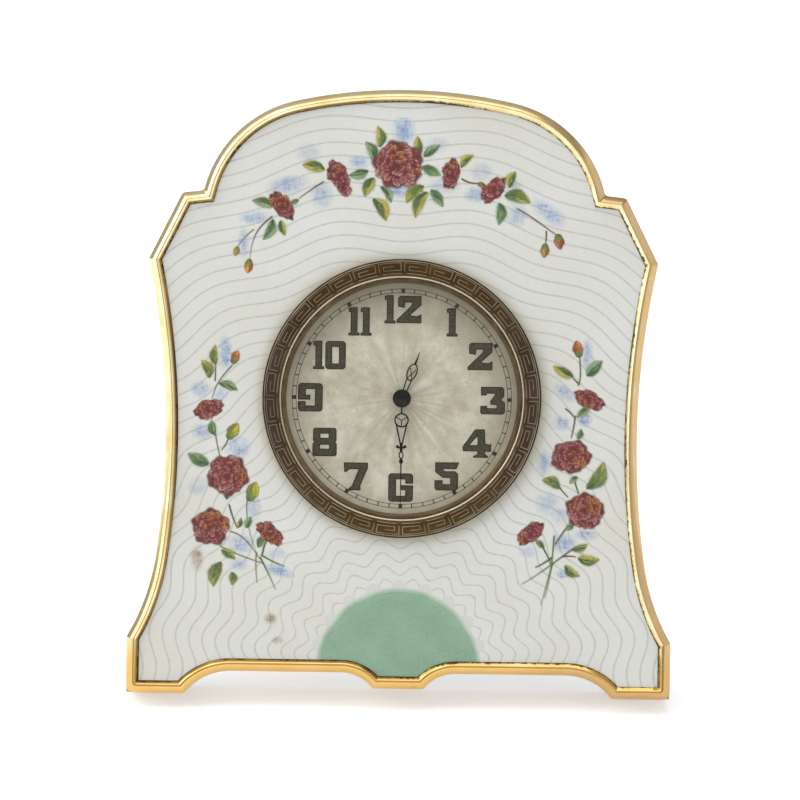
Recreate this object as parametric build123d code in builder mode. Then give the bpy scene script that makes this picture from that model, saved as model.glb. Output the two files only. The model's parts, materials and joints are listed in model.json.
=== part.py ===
"""Small table clock: an enamelled panel in a gilt rim, a round watch movement and a folding leg.

Millimetres, +Z up. The clock faces -Y and leans back on its leg. The origin is on the table, in
the middle of the footprint. On the case, heights run up the leaning front from the foot soles,
and levels run out of the front from the enamel surface, positive towards the viewer.
"""

from build123d import *
import os
from math import atan2, cos, hypot, pi, radians, sin, tan

# Stance, in degrees
LEAN = 14.0
LEG_OPEN = 27.3

# Clearances
RUN = 0.05
SEAT = 0.02
AIR = 0.15

# Case outline, right half: distances from the centre line, heights from the soles or the top
CASE_HEIGHT = 100.0
CROWN_HALF = 18.0
CROWN_DROP = 2.0
NECK_HALF = 33.1
NECK_DROP = 17.0
SHOULDER_HALF = 36.6
SHOULDER_DROP = 17.4
HORN_HALF = 42.0
HORN_DROP = 28.3
WAIST_HALF = 38.9
WAIST_HEIGHT = 45.0
FLARE_HALF = 40.4
FLARE_HEIGHT = 22.0
FOOT_HALF = 44.85
FOOT_HEIGHT = 9.3
FOOT_WIDTH = 9.55
RAIL_HALF = 27.5
RAIL_HEIGHT = 3.8
APRON_HALF = 9.5
DROP_HALF = 4.2
DROP_HEIGHT = 1.2

# Rim moulding, panel and case walls
OUTER_BEVEL = 1.3
RIDGE_FLAT = 0.06
INNER_BEVEL = 0.75
RIM_LIP = 0.05
RABBET = 1.35
ENAMEL_THICK = 0.5
PANEL_THICK = 0.8
BAND_WALL = 1.2
LEDGE_WIDTH = 1.0
LEDGE_DEPTH = 1.0
BACK_THICK = 1.0
LUG_R = 2.4
LUG_LENGTH = 4.0
FOOT_FLAT = 1.5
SUN_R = 13.7
SUN_HEIGHT = 4.3
HOLE_MARGIN = 2.4

# Depth of the movement, from the enamel backwards
DIAL_SINK = 1.2
DIAL_THICK = 0.35
MOTION_SPACE = 1.65
MAIN_PLATE_THICK = 1.4
TRAIN_SPACE = 4.2
BRIDGE_THICK = 1.0
WINDING_SPACE = 2.1
COVER_THICK = 0.8

# Bezel, glass and dial
DIAL_DROP = 50.9
MOVEMENT_R = 19.8
NECK_WALL = 0.65
NECK_LENGTH = 2.6
DRUM_WALL = 1.0
MOVEMENT_LEDGE = 0.8
COVER_LAP = 0.55
BEZEL_FLANGE = 2.35
BEZEL_RISE = 1.75
BEZEL_EDGE = 1.3
BEZEL_LIP = 0.25
GLASS_THICK = 0.6
GLASS_LEVEL = 0.6
GLASS_DOME = 0.7
RING_WIDTH = 0.9
NUMERAL_WIDTH = 4.1
NUMERAL_HEIGHT = 4.7
NUMERAL_UPRIGHT = 1.3
NUMERAL_STEM = 1.15
ZERO_WIDTH = 3.4
NUMERAL_BAR = 1.0
NUMERAL_ROUND = 0.6
NUMERAL_RISE = 0.12
NUMERAL_MARGIN = 2.0

# Hands
HAND_THICK = 0.15
HOUR_LEVEL = -0.55
MINUTE_LEVEL = 0.0
HOUR_HAND = 8.3
MINUTE_TIP_GAP = 1.65
OVAL_RISE = 1.6
OVAL_LENGTH = 0.5
BEAD_RISE = 2.6
HAND_BOSS_R = 1.5
CAP_RISE = 0.4
HOUR_ANGLE = -20.5
MINUTE_ANGLE = 180.0

# Setting arbor and motion work
SETTING_R = 0.45
CANNON_R = 0.75
HOUR_PIPE_R = 1.1
CANNON_LEAVES = 12
MINUTE_TEETH = 36
MOTION_MODULE = 0.25
MINUTE_LEAVES = 10
HOUR_TEETH = 40
MINUTE_WHEEL_ANGLE = 180.0
MINUTE_POST_R = 0.4
MOTION_WHEEL = 0.4
HOUR_WHEEL_THICK = 0.35
KNOB_R = 2.8
KNOB_LENGTH = 3.0
KNOB_GAP = 0.6
KNOB_FLUTES = 14
FLUTE_R = 0.35

# Going train
BARREL_TEETH = 78
CENTRE_LEAVES = 12
BARREL_MODULE = 0.22
CENTRE_TEETH = 80
THIRD_LEAVES = 10
CENTRE_MODULE = 0.16
THIRD_TEETH = 75
FOURTH_LEAVES = 10
THIRD_MODULE = 0.14
FOURTH_TEETH = 80
ESCAPE_LEAVES = 8
FOURTH_MODULE = 0.12
BARREL_ANGLE = 90.0
THIRD_ANGLE = 210.0
FOURTH_ANGLE = 300.0
ESCAPE_ANGLE = 10.0
LEVER_ANGLE = 15.0
CENTRE_TUBE_R = 0.8
ARBOR_R = 0.3
JEWEL_R = 0.9
WHEEL_THICK = 0.25
LEAF_LENGTH = 0.45
CENTRE_WHEEL_STEP = 0.2
THIRD_WHEEL_STEP = 1.35
FOURTH_WHEEL_STEP = 2.35
ESCAPE_STEP = 1.15
ESCAPE_TEETH = 15
ESCAPE_R = 2.6
ESCAPE_TOOTH = 0.7

# Barrel, mainspring and winding work
BARREL_STEP = 0.65
BARREL_WALL = 0.8
BARREL_FLOOR = 0.4
BARREL_TOOTH_LENGTH = 0.6
LID_THICK = 0.4
LID_LAP = 0.35
BARREL_ARBOR_R = 0.9
SPRING_HUB_R = 2.0
MAINSPRING_THICK = 0.22
MAINSPRING_TURNS = 6
RATCHET_R = 3.7
RATCHET_TEETH = 36
RATCHET_TOOTH = 0.45
RATCHET_THICK = 0.4
CLICK_X = 5.6
CLICK_Y = 3.0
CLICK_REACH = 4.6
CLICK_TIP = 1.35
CLICK_WIDTH = 0.8
CLICK_BOSS_R = 1.1
CLICK_POST_R = 0.5
CLICK_SPRING_THICK = 0.25

# Winding key
KEY_GAP = 0.4
KEY_HUB_R = 2.2
KEY_HUB_LENGTH = 2.6
KEY_HUB_WIDTH = 3.0
KEY_PIN_R = 0.5
KEY_WING_THICK = 1.2
KEY_WING_HALF = 5.2
KEY_WING_REACH = 5.6
KEY_LOBE_R = 2.2
KEY_NOTCH = 2.9

# Lever escapement and balance
LEVER_REACH = 4.0
BALANCE_REACH = 5.4
STONE_R = 3.25
STONE_ANGLE = 32.0
LEVER_WIDTH = 0.6
LEVER_THICK = 0.3
FORK_GAP = 1.2
BALANCE_R = 5.0
BALANCE_RIM = 0.7
BALANCE_THICK = 0.6
BALANCE_STEP = 0.9
BALANCE_ARM = 0.8
ROLLER_R = 1.1
ROLLER_THICK = 0.25
IMPULSE_R = 0.15
IMPULSE_RADIUS = 0.8
HAIRSPRING_INNER = 1.0
HAIRSPRING_TURNS = 4
HAIRSPRING_PITCH = 0.6
HAIRSPRING_THICK = 0.1
HAIRSPRING_HEIGHT = 0.3
COLLET_R = 0.65
COCK_REACH = 6.8
COCK_ANGLE = 79.0
COCK_WIDTH = 3.0
COCK_WINDOW_R = 7.0
LEVER_COCK_STEP = 2.0
LEVER_COCK_THICK = 0.4
LEVER_COCK_WIDTH = 2.4
LEVER_COCK_REACH = 3.4
INDEX_REACH = 6.0
INDEX_ANGLE = -110.0
INDEX_SWING = 15.0
INDEX_SPARE = 3
INDEX_THICK = 0.25
INDEX_BOSS_R = 0.9
INDEX_RING = 0.7
INDEX_PIN_R = 0.4
INDEX_PIN_PROUD = 0.4

# Movement posts and screws
PILLAR_R = 1.3
PILLAR_RING = 17.0
PILLAR_ANGLES = (160.0, 33.0, 223.0, 285.0)
SCREW_R = 0.6
SCREW_HEAD_R = 1.2
SCREW_HEAD = 0.6
SCREW_SLOT = 0.25
DIAL_FOOT_R = 0.4
DIAL_FOOT_RING = 16.5
DIAL_FOOT_ANGLES = (60.0, 250.0)

# Folding leg and its hinge
HINGE_GAP = 6.28
KNUCKLE_R = 1.4
HINGE_PIN_R = 0.6
LEG_KNUCKLE = 12.0
SIDE_KNUCKLE = 4.8
HINGE_PLATE_THICK = 0.6
HINGE_PLATE_HEIGHT = 7.0
HINGE_SCREW_X = 8.0
HINGE_SCREW_RISE = 4.2
LEG_THICK = 1.4
LEG_TOP_HALF = 13.0
LEG_FOOT_HALF = 21.0
LEG_BAR = 4.6
LEG_TOP_BAR = 5.0
LEG_FOOT_BAR = 5.0
LEG_START = 1.9
HEEL_WIDTH = 10.0
HEEL_HEIGHT = 3.6

os.makedirs("parts", exist_ok=True)

# Levels in front of the enamel surface, so most are negative
RIDGE_LEVEL = INNER_BEVEL + RIM_LIP
PANEL_REAR = -ENAMEL_THICK - PANEL_THICK
DIAL_FRONT = -DIAL_SINK
DIAL_REAR = DIAL_FRONT - DIAL_THICK
PLATE_FRONT = DIAL_REAR - MOTION_SPACE
PLATE_REAR = PLATE_FRONT - MAIN_PLATE_THICK
BRIDGE_FRONT = PLATE_REAR - TRAIN_SPACE
BRIDGE_REAR = BRIDGE_FRONT - BRIDGE_THICK
COVER_FRONT = BRIDGE_REAR - WINDING_SPACE
CASE_REAR = COVER_FRONT - COVER_THICK
HINGE_LEVEL = CASE_REAR - KNUCKLE_R - 2 * RUN

# Widths and heights that follow from the driving sizes
DIAL_HEIGHT = CASE_HEIGHT - DIAL_DROP
RIM_WIDTH = OUTER_BEVEL + RIDGE_FLAT + INNER_BEVEL
BEZEL_BORE = MOVEMENT_R + AIR
NECK_R = BEZEL_BORE + NECK_WALL
PANEL_HOLE_R = NECK_R + RUN
BEZEL_R = NECK_R + BEZEL_FLANGE
DRUM_R = NECK_R + SEAT + DRUM_WALL
DIAL_R = BEZEL_BORE - 2 * RUN
SIGHT_R = BEZEL_BORE - RING_WIDTH
DRUM_BORE = MOVEMENT_R - MOVEMENT_LEDGE
COVER_R = DRUM_R - 2 * COVER_LAP
NUMERAL_RING = SIGHT_R - NUMERAL_MARGIN - NUMERAL_HEIGHT / 2
HINGE_HEIGHT = DIAL_HEIGHT + DRUM_R + HINGE_GAP
LUG_INSET = BAND_WALL + LUG_R - 2 * AIR

# The leaning case stands on the rear edges of its feet, cut flat on the table
lean_sin = sin(radians(LEAN))
lean_cos = cos(radians(LEAN))
leg_sin = sin(radians(LEG_OPEN - LEAN))
leg_cos = cos(radians(LEG_OPEN - LEAN))
CASE_Z = (-CASE_REAR - FOOT_FLAT) * lean_sin
hinge_z = CASE_Z + HINGE_HEIGHT * lean_cos + HINGE_LEVEL * lean_sin
hinge_back = HINGE_HEIGHT * lean_sin - HINGE_LEVEL * lean_cos
leg_reach = (hinge_z + LEG_THICK / 2 * leg_sin) / leg_cos
rear_back = hinge_back + LEG_THICK / 2 * leg_cos + leg_reach * leg_sin
front_back = OUTER_BEVEL * lean_sin - RIDGE_LEVEL * lean_cos
CASE_Y = -(rear_back + front_back) / 2

CASE = Plane(origin=(0, CASE_Y, CASE_Z), x_dir=(1, 0, 0), z_dir=(0, -lean_cos, lean_sin))
DIAL = Plane(origin=CASE.from_local_coords((0, DIAL_HEIGHT, 0)), x_dir=(1, 0, 0), z_dir=CASE.z_dir)
PROFILE = Plane(origin=DIAL.origin, x_dir=(1, 0, 0), z_dir=(0, -lean_sin, -lean_cos))
DIAL_AXIS = Axis(DIAL.origin, DIAL.z_dir)
LEG = Plane(
    origin=CASE.from_local_coords((0, HINGE_HEIGHT, HINGE_LEVEL)),
    x_dir=(1, 0, 0),
    z_dir=(0, -leg_cos, -leg_sin),
)
SIDE = Plane(origin=LEG.origin, x_dir=(0, 1, 0), z_dir=(1, 0, 0))


def polar(start, reach, angle):
    """Point at a distance and an angle in degrees from another point of the dial plane."""
    return (start[0] + reach * cos(radians(angle)), start[1] + reach * sin(radians(angle)))


# Arbor places on the dial plane, from the centre; wheel centres are half the teeth apart
CENTRE = (0.0, 0.0)
BARREL = polar(CENTRE, (BARREL_TEETH + CENTRE_LEAVES) * BARREL_MODULE / 2, BARREL_ANGLE)
THIRD = polar(CENTRE, (CENTRE_TEETH + THIRD_LEAVES) * CENTRE_MODULE / 2, THIRD_ANGLE)
FOURTH = polar(THIRD, (THIRD_TEETH + FOURTH_LEAVES) * THIRD_MODULE / 2, FOURTH_ANGLE)
ESCAPE = polar(FOURTH, (FOURTH_TEETH + ESCAPE_LEAVES) * FOURTH_MODULE / 2, ESCAPE_ANGLE)
LEVER = polar(ESCAPE, LEVER_REACH, LEVER_ANGLE)
BALANCE = polar(LEVER, BALANCE_REACH, LEVER_ANGLE)
MINUTE_REACH = (CANNON_LEAVES + MINUTE_TEETH) * MOTION_MODULE / 2
MINUTE_WHEEL = polar(CENTRE, MINUTE_REACH, MINUTE_WHEEL_ANGLE)
HOUR_MODULE = 2 * MINUTE_REACH / (MINUTE_LEAVES + HOUR_TEETH)
COCK_FOOT = polar(BALANCE, COCK_REACH, COCK_ANGLE)
CLICK = (BARREL[0] + CLICK_X, BARREL[1] + CLICK_Y)
CLICK_TIP_POINT = (CLICK[0] - CLICK_REACH, CLICK[1] + CLICK_TIP)
PILLARS = [polar(CENTRE, PILLAR_RING, angle) for angle in PILLAR_ANGLES]
DIAL_FEET = [polar(CENTRE, DIAL_FOOT_RING, angle) for angle in DIAL_FOOT_ANGLES]
LEVER_FOOT = polar(LEVER, LEVER_COCK_REACH, LEVER_ANGLE - 90)


def dial_at(level):
    """Plane parallel to the dial, centred on the hands."""
    return DIAL.offset(level)


def hand_at(level, angle):
    """Plane of a hand, with its y axis turned from the top of the dial by an angle in degrees."""
    across = DIAL.x_dir * cos(radians(angle)) + DIAL.y_dir * sin(radians(angle))
    return Plane(origin=dial_at(level).origin, x_dir=across, z_dir=DIAL.z_dir)


def case_at(level):
    """Plane parallel to the case front, with its origin between the foot soles."""
    return CASE.offset(level)


def keep(builder, name):
    """Labels a finished piece and writes its file."""
    builder.part.label = name
    export_step(builder.part, f"parts/{name}.step")


def sun_face():
    """The green sun, which leaves a white margin round the dial hole."""
    with BuildSketch() as sun:
        with Locations((0, SUN_HEIGHT)):
            Circle(SUN_R)
        with Locations((0, DIAL_HEIGHT)):
            Circle(PANEL_HOLE_R + HOLE_MARGIN, mode=Mode.SUBTRACT)
    return sun.sketch


def case_face(inset=0.0):
    """The front outline of the case, drawn in from its edge by the inset."""
    with BuildSketch() as outline:
        with BuildLine():
            crown = TangentArc((0, CASE_HEIGHT), (CROWN_HALF, CASE_HEIGHT - CROWN_DROP), tangent=(1, 0))
            haunch = TangentArc(crown @ 1, (NECK_HALF, CASE_HEIGHT - NECK_DROP), tangent=crown % 1)
            horn = (HORN_HALF, CASE_HEIGHT - HORN_DROP)
            Polyline(haunch @ 1, (SHOULDER_HALF, CASE_HEIGHT - SHOULDER_DROP), horn)
            side = ThreePointArc(horn, (WAIST_HALF, WAIST_HEIGHT), (FLARE_HALF, FLARE_HEIGHT))
            TangentArc(side @ 1, (FOOT_HALF, FOOT_HEIGHT), tangent=side % 1)
            foot_inner = (FOOT_HALF - FOOT_WIDTH, 0)
            Polyline((FOOT_HALF, FOOT_HEIGHT), (FOOT_HALF, 0), foot_inner)
            TangentArc((RAIL_HALF, RAIL_HEIGHT), foot_inner, tangent=(1, 0))
            Line((RAIL_HALF, RAIL_HEIGHT), (APRON_HALF, RAIL_HEIGHT))
            TangentArc((APRON_HALF, RAIL_HEIGHT), (DROP_HALF, DROP_HEIGHT), tangent=(-1, 0))
            Line((DROP_HALF, DROP_HEIGHT), (0, DROP_HEIGHT))
            mirror(about=Plane.YZ)
        make_face()
        if inset:
            offset(amount=-inset, kind=Kind.ARC)
    return outline.sketch


def disc(places, radius, rear, front, mode=Mode.ADD):
    """Adds round discs or arbors between two levels, or bores holes with Mode.SUBTRACT."""
    with BuildSketch(dial_at(rear)) as rounds:
        with Locations(places):
            Circle(radius)
    extrude(rounds.sketch, amount=front - rear, mode=mode)


def bar(start, end, width, rear, front, mode=Mode.ADD):
    """Adds a round-ended bar from one point of the dial plane to another."""
    length = hypot(end[0] - start[0], end[1] - start[1])
    middle = ((start[0] + end[0]) / 2, (start[1] + end[1]) / 2)
    turn = atan2(end[1] - start[1], end[0] - start[0]) * 180 / pi
    with BuildSketch(dial_at(rear)) as strip:
        with Locations(Location(middle, turn)):
            SlotCenterToCenter(length, width)
    extrude(strip.sketch, amount=front - rear, mode=mode)


def prism(points, rear, front):
    """Adds a flat piece with a straight-sided outline between two levels."""
    with BuildSketch(dial_at(rear)) as blank:
        with BuildLine():
            Polyline(*points, close=True)
        make_face()
    extrude(blank.sketch, amount=front - rear)


def toothed(place, teeth, module, first, rear, front):
    """Adds a wheel or pinion with straight flanks; first is the angle of one tooth, in radians."""
    pitch = 2 * pi / teeth
    tip = teeth * module / 2 + 0.7 * module
    root = teeth * module / 2 - 1.2 * module
    corners = ((root, -0.25), (tip, -0.08), (tip, 0.08), (root, 0.25))
    points = []
    for number in range(teeth):
        for radius, share in corners:
            angle = first + (number + share) * pitch
            points.append((place[0] + radius * cos(angle), place[1] + radius * sin(angle)))
    prism(points, rear, front)


def saw_wheel(place, teeth, tip, tooth, rear, front):
    """Adds a wheel with slanting teeth, as an escape or ratchet wheel has."""
    pitch = 2 * pi / teeth
    points = []
    for number in range(teeth):
        for radius, share in ((tip - tooth, 0.0), (tip, 0.55), (tip, 0.7), (tip - tooth, 0.75)):
            angle = (number + share) * pitch
            points.append((place[0] + radius * cos(angle), place[1] + radius * sin(angle)))
    prism(points, rear, front)


def meshed(driver, driver_teeth, driver_first, driven, driven_teeth):
    """Angle of a driven tooth that leaves a gap where the driver's nearest tooth stands."""
    towards = atan2(driven[1] - driver[1], driven[0] - driver[0])
    pitch = 2 * pi / driver_teeth
    lead = (driver_first - towards + pitch / 2) % pitch - pitch / 2
    return towards + pi - lead * driver_teeth / driven_teeth + pi / driven_teeth


def spiral(place, inner, pitch, turns, thick, rear, front):
    """Adds a flat spiral spring of half-turn arcs, each half a pitch larger than the last."""
    with BuildSketch(dial_at(rear)) as strip:
        with BuildLine() as path:
            x = place[0] + inner
            for number in range(2 * turns):
                radius = inner + (number + 0.5) * pitch / 2
                side = -1 if number % 2 == 0 else 1
                middle = (x + side * radius, place[1] - side * radius)
                ThreePointArc((x, place[1]), middle, (x + 2 * side * radius, place[1]))
                x = x + 2 * side * radius
        trace(path.line, line_width=thick)
    extrude(strip.sketch, amount=front - rear)


def slotted_screws(places, shank_end, seat, head_r, shank_r, head):
    """Adds cheese-headed screws whose heads lie behind the seat level."""
    disc(places, shank_r, seat, shank_end)
    disc(places, head_r, seat - head, seat)
    with BuildSketch(dial_at(seat - head)) as slots:
        with Locations(places):
            Rectangle(2 * head_r, SCREW_SLOT)
    extrude(slots.sketch, amount=head / 2, mode=Mode.SUBTRACT)


# Case: gilt rim, enamelled panel, side band and back
with BuildPart() as rim_frame:
    with BuildSketch(case_at(PANEL_REAR)):
        add(case_face())
    extrude(amount=RIDGE_LEVEL - PANEL_REAR)
    front_edges = rim_frame.faces().sort_by(Axis(CASE.origin, CASE.z_dir))[-1].edges()
    chamfer(front_edges, OUTER_BEVEL)
    with BuildSketch(case_at(0)):
        add(case_face(RIM_WIDTH))
    extrude(amount=RIDGE_LEVEL, mode=Mode.SUBTRACT)
    with BuildSketch(case_at(RIM_LIP)):
        add(case_face(RIM_WIDTH))
    extrude(amount=INNER_BEVEL, taper=-45, mode=Mode.SUBTRACT)
    with BuildSketch(case_at(PANEL_REAR)):
        add(case_face(RABBET))
    extrude(amount=-PANEL_REAR, mode=Mode.SUBTRACT)
keep(rim_frame, "rim_frame")

with BuildPart() as front_plate:
    with BuildSketch(case_at(PANEL_REAR)):
        add(case_face(RABBET + SEAT))
        with Locations((0, DIAL_HEIGHT)):
            Circle(PANEL_HOLE_R, mode=Mode.SUBTRACT)
    extrude(amount=PANEL_THICK)
keep(front_plate, "front_plate")

with BuildPart() as white_enamel:
    with BuildSketch(case_at(-ENAMEL_THICK)):
        add(case_face(RABBET + SEAT))
        with Locations((0, DIAL_HEIGHT)):
            Circle(PANEL_HOLE_R, mode=Mode.SUBTRACT)
        add(sun_face(), mode=Mode.SUBTRACT)
    extrude(amount=ENAMEL_THICK)
keep(white_enamel, "white_enamel")

with BuildPart() as green_enamel:
    with BuildSketch(case_at(-ENAMEL_THICK)):
        add(sun_face())
        add(case_face(RABBET + SEAT), mode=Mode.INTERSECT)
    extrude(amount=ENAMEL_THICK)
keep(green_enamel, "green_enamel")

lug_places = []
for side in (-1, 1):
    lug_places.append((side * (FOOT_HALF - LUG_INSET), LUG_INSET))
    lug_places.append((side * (NECK_HALF + SHOULDER_HALF) / 2, CASE_HEIGHT - SHOULDER_DROP - LUG_INSET))

with BuildPart() as case_band:
    with BuildSketch(case_at(CASE_REAR)):
        add(case_face())
        add(case_face(BAND_WALL), mode=Mode.SUBTRACT)
    extrude(amount=PANEL_REAR - CASE_REAR)
    with BuildSketch(case_at(PANEL_REAR)):
        add(case_face(BAND_WALL / 2))
        add(case_face(BAND_WALL + LEDGE_WIDTH), mode=Mode.SUBTRACT)
    extrude(amount=-LEDGE_DEPTH)
    with BuildSketch(case_at(CASE_REAR + BACK_THICK)):
        with Locations(lug_places):
            Circle(LUG_R)
        add(case_face(BAND_WALL / 2), mode=Mode.INTERSECT)
    extrude(amount=LUG_LENGTH)
    with BuildSketch(case_at(CASE_REAR + BACK_THICK)):
        with Locations(lug_places):
            Circle(SCREW_R + SEAT)
    extrude(amount=LUG_LENGTH, mode=Mode.SUBTRACT)
    with BuildSketch(Plane.XY):
        Rectangle(4 * CASE_HEIGHT, 4 * CASE_HEIGHT)
    extrude(amount=-CASE_HEIGHT, mode=Mode.SUBTRACT)
keep(case_band, "case_band")

hinge_screw_places = [(side * HINGE_SCREW_X, HINGE_HEIGHT + HINGE_SCREW_RISE) for side in (-1, 1)]

with BuildPart() as back_plate:
    with BuildSketch(case_at(CASE_REAR)):
        add(case_face(BAND_WALL + SEAT))
        with Locations((0, DIAL_HEIGHT)):
            Circle(DRUM_R + SEAT, mode=Mode.SUBTRACT)
        with Locations(lug_places + hinge_screw_places):
            Circle(SCREW_R + SEAT, mode=Mode.SUBTRACT)
    extrude(amount=BACK_THICK)
    with BuildSketch(case_at(CASE_REAR)):
        with Locations(lug_places):
            Circle(SCREW_HEAD_R + SEAT)
    extrude(amount=SCREW_HEAD, mode=Mode.SUBTRACT)
keep(back_plate, "back_plate")

with BuildPart() as back_screws:
    dial_places = [(x, height - DIAL_HEIGHT) for x, height in lug_places]
    back_seat = CASE_REAR + SCREW_HEAD
    slotted_screws(dial_places, CASE_REAR + LUG_LENGTH, back_seat, SCREW_HEAD_R, SCREW_R, SCREW_HEAD)
keep(back_screws, "back_screws")

# Bezel, glass, sight ring, dial and drum, all turned about the hand axis
with BuildPart() as bezel:
    with BuildSketch(PROFILE):
        with BuildLine():
            band_outer = BEZEL_R - BEZEL_LIP
            glass_front = GLASS_LEVEL + GLASS_THICK
            crest = BEZEL_BORE + NECK_WALL
            Polyline(
                (BEZEL_BORE, -NECK_LENGTH),
                (NECK_R, -NECK_LENGTH),
                (NECK_R, 0),
                (BEZEL_R, 0),
                (BEZEL_R, BEZEL_EDGE - BEZEL_LIP),
                (band_outer, BEZEL_EDGE),
                (crest, BEZEL_RISE),
                (BEZEL_BORE, glass_front + BEZEL_LIP),
                (BEZEL_BORE - BEZEL_LIP, glass_front + BEZEL_LIP),
                (BEZEL_BORE - BEZEL_LIP, glass_front),
                (BEZEL_BORE, glass_front),
                close=True,
            )
        make_face()
    revolve(axis=DIAL_AXIS)
keep(bezel, "bezel")

with BuildPart() as crystal:
    with BuildSketch(PROFILE):
        with BuildLine():
            edge = BEZEL_BORE - SEAT
            clear = BEZEL_BORE - 2 * BEZEL_LIP
            front_edge = GLASS_LEVEL + GLASS_THICK
            Polyline((0, GLASS_LEVEL + GLASS_DOME), (0, front_edge + GLASS_DOME))
            TangentArc((0, front_edge + GLASS_DOME), (clear, front_edge), tangent=(1, 0))
            Polyline((clear, front_edge), (edge, front_edge), (edge, GLASS_LEVEL), (clear, GLASS_LEVEL))
            TangentArc((0, GLASS_LEVEL + GLASS_DOME), (clear, GLASS_LEVEL), tangent=(1, 0))
        make_face()
    revolve(axis=DIAL_AXIS)
keep(crystal, "crystal")

with BuildPart() as sight_ring:
    with BuildSketch(PROFILE):
        with BuildLine():
            ring_edge = BEZEL_BORE - SEAT
            Polyline(
                (SIGHT_R, DIAL_FRONT),
                (ring_edge, DIAL_FRONT),
                (ring_edge, GLASS_LEVEL),
                ((SIGHT_R + ring_edge) / 2, GLASS_LEVEL),
                close=True,
            )
        make_face()
    revolve(axis=DIAL_AXIS)
keep(sight_ring, "sight_ring")

with BuildPart() as dial:
    disc([CENTRE], DIAL_R, DIAL_REAR, DIAL_FRONT)
    disc(DIAL_FEET, DIAL_FOOT_R, PLATE_FRONT - MAIN_PLATE_THICK / 2, DIAL_REAR)
    disc([CENTRE], HOUR_PIPE_R + 2 * RUN, DIAL_REAR, DIAL_FRONT, Mode.SUBTRACT)
keep(dial, "dial")

# Plain block numerals, built of upright and level strokes in one cell
half_x = NUMERAL_WIDTH / 2
half_y = NUMERAL_HEIGHT / 2
side_x = half_x - NUMERAL_UPRIGHT / 2
end_y = half_y - NUMERAL_BAR / 2
nib_y = half_y - NUMERAL_HEIGHT * 0.18
STROKES = {
    "top": ((0, end_y), (NUMERAL_WIDTH, NUMERAL_BAR)),
    "bottom": ((0, -end_y), (NUMERAL_WIDTH, NUMERAL_BAR)),
    "left_up": ((-side_x, half_y / 2), (NUMERAL_UPRIGHT, half_y)),
    "left_down": ((-side_x, -half_y / 2), (NUMERAL_UPRIGHT, half_y)),
    "right_up": ((side_x, half_y / 2), (NUMERAL_UPRIGHT, half_y)),
    "right_down": ((side_x, -half_y / 2), (NUMERAL_UPRIGHT, half_y)),
    "inner_right": ((half_x / 2, 0), (half_x, NUMERAL_BAR * 0.8)),
    "inner_left": ((-half_x / 2, 0), (half_x, NUMERAL_BAR * 0.8)),
    "nib_top_right": ((side_x, nib_y), (NUMERAL_UPRIGHT, NUMERAL_HEIGHT * 0.36)),
    "nib_low_left": ((-side_x, -nib_y), (NUMERAL_UPRIGHT, NUMERAL_HEIGHT * 0.36)),
    "stem": ((0, 0), (NUMERAL_STEM, NUMERAL_HEIGHT)),
    "serif": ((0, -half_y + NUMERAL_BAR * 0.25), (NUMERAL_STEM * 1.6, NUMERAL_BAR * 0.5)),
    "flag": ((-NUMERAL_STEM * 0.5, half_y - NUMERAL_BAR * 0.45), (NUMERAL_STEM * 0.6, NUMERAL_BAR * 0.7)),
}
DIGITS = {
    "1": ("stem", "serif", "flag"),
    "6": ("top", "left_up", "left_down", "bottom", "right_down", "inner_right", "nib_top_right"),
    "9": ("top", "right_up", "right_down", "bottom", "left_up", "inner_left", "nib_low_left"),
}

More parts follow.
